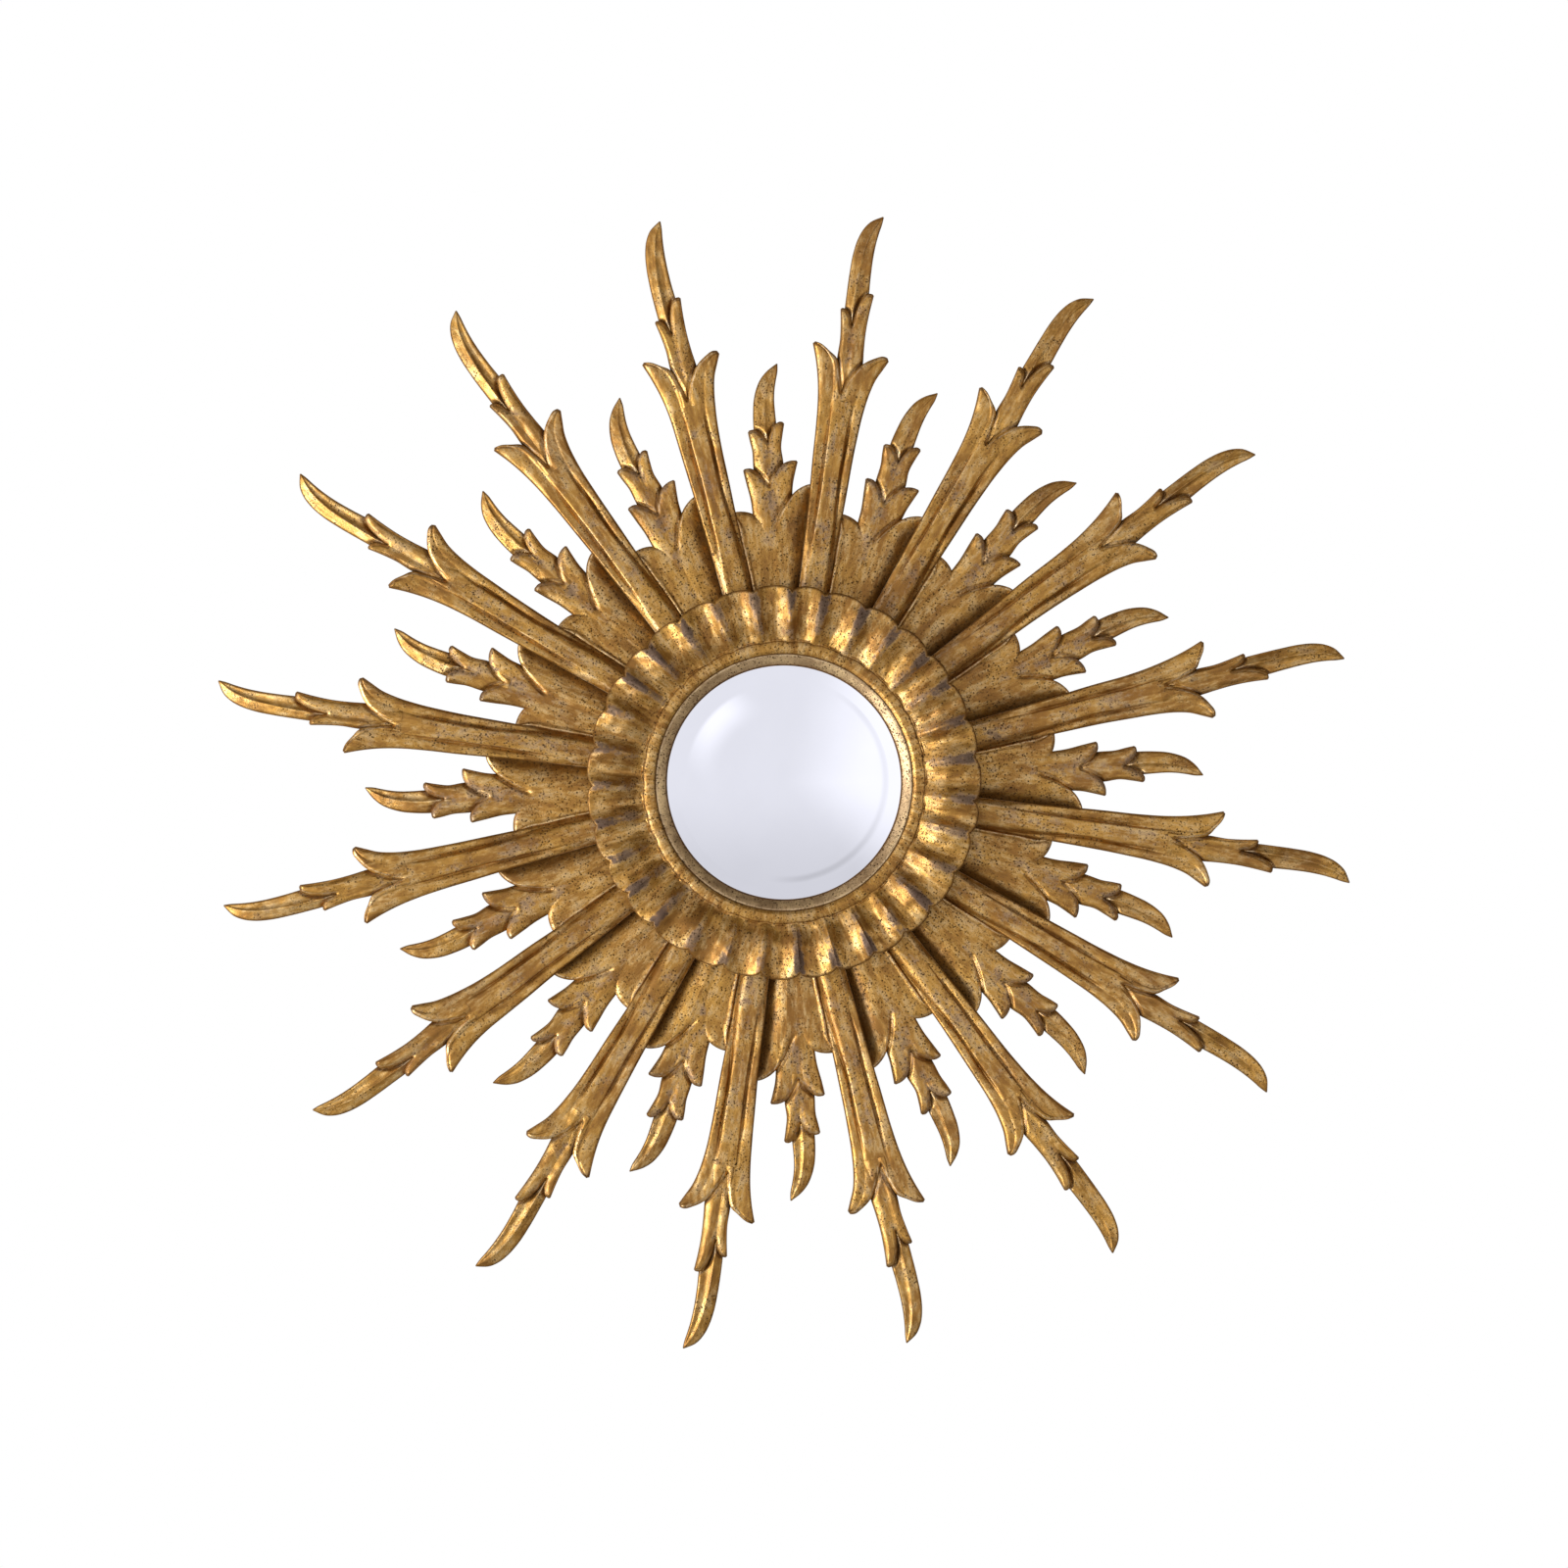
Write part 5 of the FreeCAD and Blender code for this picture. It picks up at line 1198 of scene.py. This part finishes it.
def carve_rays(scene, name, tiers, size, first_angle, tongue=None):
    """All rays of one kind: one carved pattern, then a copy at each angle with its own small differences."""
    spread, reach, back = size
    carving = scene.starburst_rays
    template = carved_ray(name + "_pattern", tiers, spread, reach, carving, tongue)
    materials = gilt_materials(scene)
    for number in range(1, RAY_PAIRS + 1):
        label = f"{name}_{number:02d}"
        angle = first_angle + (number - 1) * RAY_PITCH
        mesh = placed_ray(template, "carved_" + label, angle, back, reach, carving, seed=int(reach) * 100 + number)
        finish_mesh(mesh, materials)
        add_piece("carved_" + label, mesh, "gilded_wood", label)
    bpy.data.meshes.remove(template)


def add_floor(setup):
    """A pale floor that ends before it would show in the photograph's frame."""
    left, right, front, back = -0.85, 0.85, -0.75, 0.3
    across, along = np.meshgrid(np.linspace(left, right, 9), np.linspace(front, back, 7))
    points = np.stack([across, along, np.full_like(across, setup.floor_level)], axis=-1)
    shell = Shell()
    shell.grid(points / MM, np.zeros(3))
    mesh = shell.mesh("pale_floor")
    finish_mesh(mesh, [new_material("pale_floor", pale_floor)])
    floor = in_scene("pale_floor", mesh)


def add_lamp(name, place, size, power):
    """A soft rectangular lamp that points at the middle of the mirror."""
    light = bpy.data.lights.new(name, "AREA")
    light.shape = "RECTANGLE"
    light.size, light.size_y = size
    light.energy = power
    light.color = LAMP_COLOUR
    lamp = in_scene(name, light)
    lamp.location = place
    lamp.rotation_mode = "QUATERNION"
    lamp.rotation_quaternion = (-lamp.location).to_track_quat("-Z", "Y")
    lamp.visible_camera = False


def set_world(scene, setup):
    """White for the camera, even soft light for diffuse rays, and for metal and glass white behind and a room in front.

    The room is pale, lit from the lower left, and dark on the side away from that light and below. What the domed
    glass shows of it has a glow at the right, a soft window at the upper left and a thin line near the right rim.
    """
    world = bpy.data.worlds.new("studio")
    scene.world = world
    start = bare_tree(world)
    x, y, z = start.node("ShaderNodeTexCoord", output="Generated").axes()

    # The light and the dark sides lie in wide directions, which the gilding reflects and the glass doesn't
    wide = y.band(-0.78, -0.62)
    lit = x * -0.88 + z * -0.47
    glow = (x - abs(z) * 0.535 + z * 0.315).band(-0.04, 0.42, 0.0, 0.225)
    room = 0.82 + glow - z.band(0.0, -0.5, 0.0, 0.14) + lit.band(0.42, 0.66, 0.0, 1.1) * wide
    shade = 0.0
    for level, side in ((0.14, lit.band(0.2, -0.1) * wide), (0.22, z.band(-0.66, -0.86))):
        room = room - side * (room - level)
        shade = side.larger(shade)

    # The window is a part of a ring in the glass, and the line is a thin arc beside its rim
    def off_axis(across, up):
        return (across * across + up * up).maths("SQRT")

    rim = off_axis(x, z)
    along = x * 0.74 + z * 0.67
    window = (rim.band(0.32, 0.44) * (1 - rim.band(0.46, 0.485)) * along.band(-0.32, -0.05)
              * (1 - along.band(0.0, 0.18)) * (z * 0.74 - x * 0.67).band(0.0, 0.1))
    line = (1 - abs(off_axis(x - 0.008, z - 0.012) - 0.477).band(0.002, 0.022)) * (x * 0.9 - z * 0.3).band(0.05, 0.25)
    room = room + window * 0.25 - line * 0.12

    behind = y.band(-0.25, 0.35)
    room = room + behind * (1 - room)
    cool = (1 - behind).tint((1, 1, 1), (0.985, 0.99, 1.08))
    tone = shade.tint(cool, (1, 0.86, 0.68))
    studio = start.node("ShaderNodeMix", {0: 1.0, 6: room, 7: tone}, output=2, data_type="RGBA", blend_type="MULTIPLY")
    seen = start.seen()
    reflected = (seen + seen.output("Is Glossy Ray") + seen.output("Is Transmission Ray")).maths("MINIMUM", 1.0)
    dome = x.band(1, -1, setup.ambient * 0.4, setup.ambient * 1.6)
    colour = reflected.tint(dome, seen.tint(studio, (1, 1, 1)))
    background = start.node("ShaderNodeBackground", {"Color": colour, "Strength": 1.0}, output="Background")
    start.node("ShaderNodeOutputWorld", {"Surface": background})


def add_camera(scene, setup):
    """A long lens square to the front, wide enough for the photograph's frame at the rays."""
    data = bpy.data.cameras.new("photo_camera")
    ray_plane = LONG_BACK * MM
    data.sensor_width = 36.0
    data.lens = data.sensor_width * (setup.camera_distance + ray_plane) / setup.photo_width
    data.clip_end = 100.0
    camera = in_scene("photo_camera", data)
    camera.location = (0.0, -setup.camera_distance, setup.aim_height)
    camera.rotation_euler = (math.radians(90), 0.0, 0.0)
    scene.camera = camera


# Operators
class STARBURST_OT_long_rays(bpy.types.Operator):
    """Carve and gild the sixteen long rays"""
    bl_idname = "starburst.long_rays"
    bl_label = "Long rays"

    def execute(self, context):
        size = (LONG_SPREAD, LONG_REACH, LONG_BACK)
        carve_rays(context.scene, "long_ray", LONG_TIERS, size, FIRST_LONG_ANGLE, TONGUE)
        return {"FINISHED"}


class STARBURST_OT_short_rays(bpy.types.Operator):
    """Carve and gild the sixteen short rays"""
    bl_idname = "starburst.short_rays"
    bl_label = "Short rays"

    def execute(self, context):
        size = (SHORT_SPREAD, SHORT_REACH, SHORT_BACK)
        carve_rays(context.scene, "short_ray", SHORT_TIERS, size, FIRST_SHORT_ANGLE)
        return {"FINISHED"}


class STARBURST_OT_fluted_ring(bpy.types.Operator):
    """Carve and gild the fluted centre ring"""
    bl_idname = "starburst.fluted_ring"
    bl_label = "Fluted ring"

    def execute(self, context):
        mesh = ring_shell(context.scene.starburst_ring).mesh("carved_ring")
        finish_mesh(mesh, gilt_materials(context.scene))
        add_piece("carved_ring", mesh, "gilded_wood", "fluted_ring")
        return {"FINISHED"}


class STARBURST_OT_slip(bpy.types.Operator):
    """Turn and gild the slip round the glass"""
    bl_idname = "starburst.slip"
    bl_label = "Slip"

    def execute(self, context):
        finish = context.scene.starburst_gilt
        mesh = lathe(*slip_profile()).mesh("gilt_slip")
        front = new_material("slip_gilding", gilding, finish, finish.slip_leaf, finish.slip_deep_leaf)
        finish_mesh(mesh, [front, gilt_materials(context.scene)[1]], sharp_angle=40)
        add_piece("gilt_slip", mesh, "slip_gilt", "slip_ring")
        return {"FINISHED"}


class STARBURST_OT_glass(bpy.types.Operator):
    """Make the convex bevelled mirror glass"""
    bl_idname = "starburst.glass"
    bl_label = "Mirror glass"

    def execute(self, context):
        form = context.scene.starburst_glass
        mesh = lathe(glass_profile(form), closed=False).mesh("domed_glass")
        materials = [new_material("silvered_glass", silvering, form), new_material("backing_paint", backing_paint)]
        finish_mesh(mesh, materials, sharp_angle=30)
        add_piece("domed_glass", mesh, "mirror", "mirror_glass")
        return {"FINISHED"}


class STARBURST_OT_fittings(bpy.types.Operator):
    """Give the board, cover, felt and fittings their finishes"""
    bl_idname = "starburst.fittings"
    bl_label = "Board and fittings"

    def execute(self, context):
        finish = context.scene.starburst_hardware
        makers = {
            "board": (plywood, finish),
            "hardboard": (hardboard, finish),
            "softwood": (softwood, finish),
            "felt": (felt, finish),
            "brass": (worked_metal, finish.brass, finish.brass_dull, 500.0),
            "steel": (worked_metal, finish.steel, finish.steel_dull, 700.0),
        }
        for slot, nodes in HARDWARE.items():
            material = new_material(slot + "_finish", *makers[slot])
            for node in nodes:
                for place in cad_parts[node].material_slots:
                    place.material = material
        return {"FINISHED"}


class STARBURST_OT_stage(bpy.types.Operator):
    """Set the floor, the lights and the camera"""
    bl_idname = "starburst.stage"
    bl_label = "Stage"

    def execute(self, context):
        setup = context.scene.starburst_stage
        add_floor(setup)
        add_lamp("key_lamp", KEY_PLACE, KEY_SIZE, setup.key_power)
        add_lamp("fill_lamp", FILL_PLACE, FILL_SIZE, setup.fill_power)
        set_world(context.scene, setup)
        add_camera(context.scene, setup)
        context.scene.view_settings.view_transform = "Standard"
        return {"FINISHED"}


class STARBURST_PT_pieces(bpy.types.Panel):
    """Lists the pieces of the mirror"""
    bl_idname = "STARBURST_PT_pieces"
    bl_label = "Starburst Mirror"
    bl_space_type = "VIEW_3D"
    bl_region_type = "UI"
    bl_category = "Starburst Mirror"

    def draw(self, context):
        for operator, group in PIECES:
            box = self.layout.box()
            box.operator(operator.bl_idname)
            settings = getattr(context.scene, group)
            for name in settings.__annotations__:
                box.prop(settings, name)


GROUPS = {
    "starburst_rays": RayCarving,
    "starburst_ring": RingCarving,
    "starburst_glass": GlassForm,
    "starburst_gilt": GiltFinish,
    "starburst_hardware": HardwareFinish,
    "starburst_stage": StageSetup,
}
PIECES = [
    (STARBURST_OT_long_rays, "starburst_rays"),
    (STARBURST_OT_short_rays, "starburst_rays"),
    (STARBURST_OT_fluted_ring, "starburst_ring"),
    (STARBURST_OT_slip, "starburst_gilt"),
    (STARBURST_OT_glass, "starburst_glass"),
    (STARBURST_OT_fittings, "starburst_hardware"),
    (STARBURST_OT_stage, "starburst_stage"),
]
CLASSES = list(GROUPS.values()) + [operator for operator, _ in PIECES] + [STARBURST_PT_pieces]


def register():
    for made in CLASSES:
        bpy.utils.register_class(made)
    for name, group in GROUPS.items():
        setattr(bpy.types.Scene, name, PointerProperty(type=group))


def unregister():
    for name in GROUPS:
        delattr(bpy.types.Scene, name)
    for made in reversed(CLASSES):
        bpy.utils.unregister_class(made)


def main():
    register()
    bpy.ops.starburst.stage()
    bpy.ops.starburst.long_rays()
    bpy.ops.starburst.short_rays()
    bpy.ops.starburst.fluted_ring()
    bpy.ops.starburst.slip()
    bpy.ops.starburst.glass()
    bpy.ops.starburst.fittings()


if __name__ == "__main__":
    main()
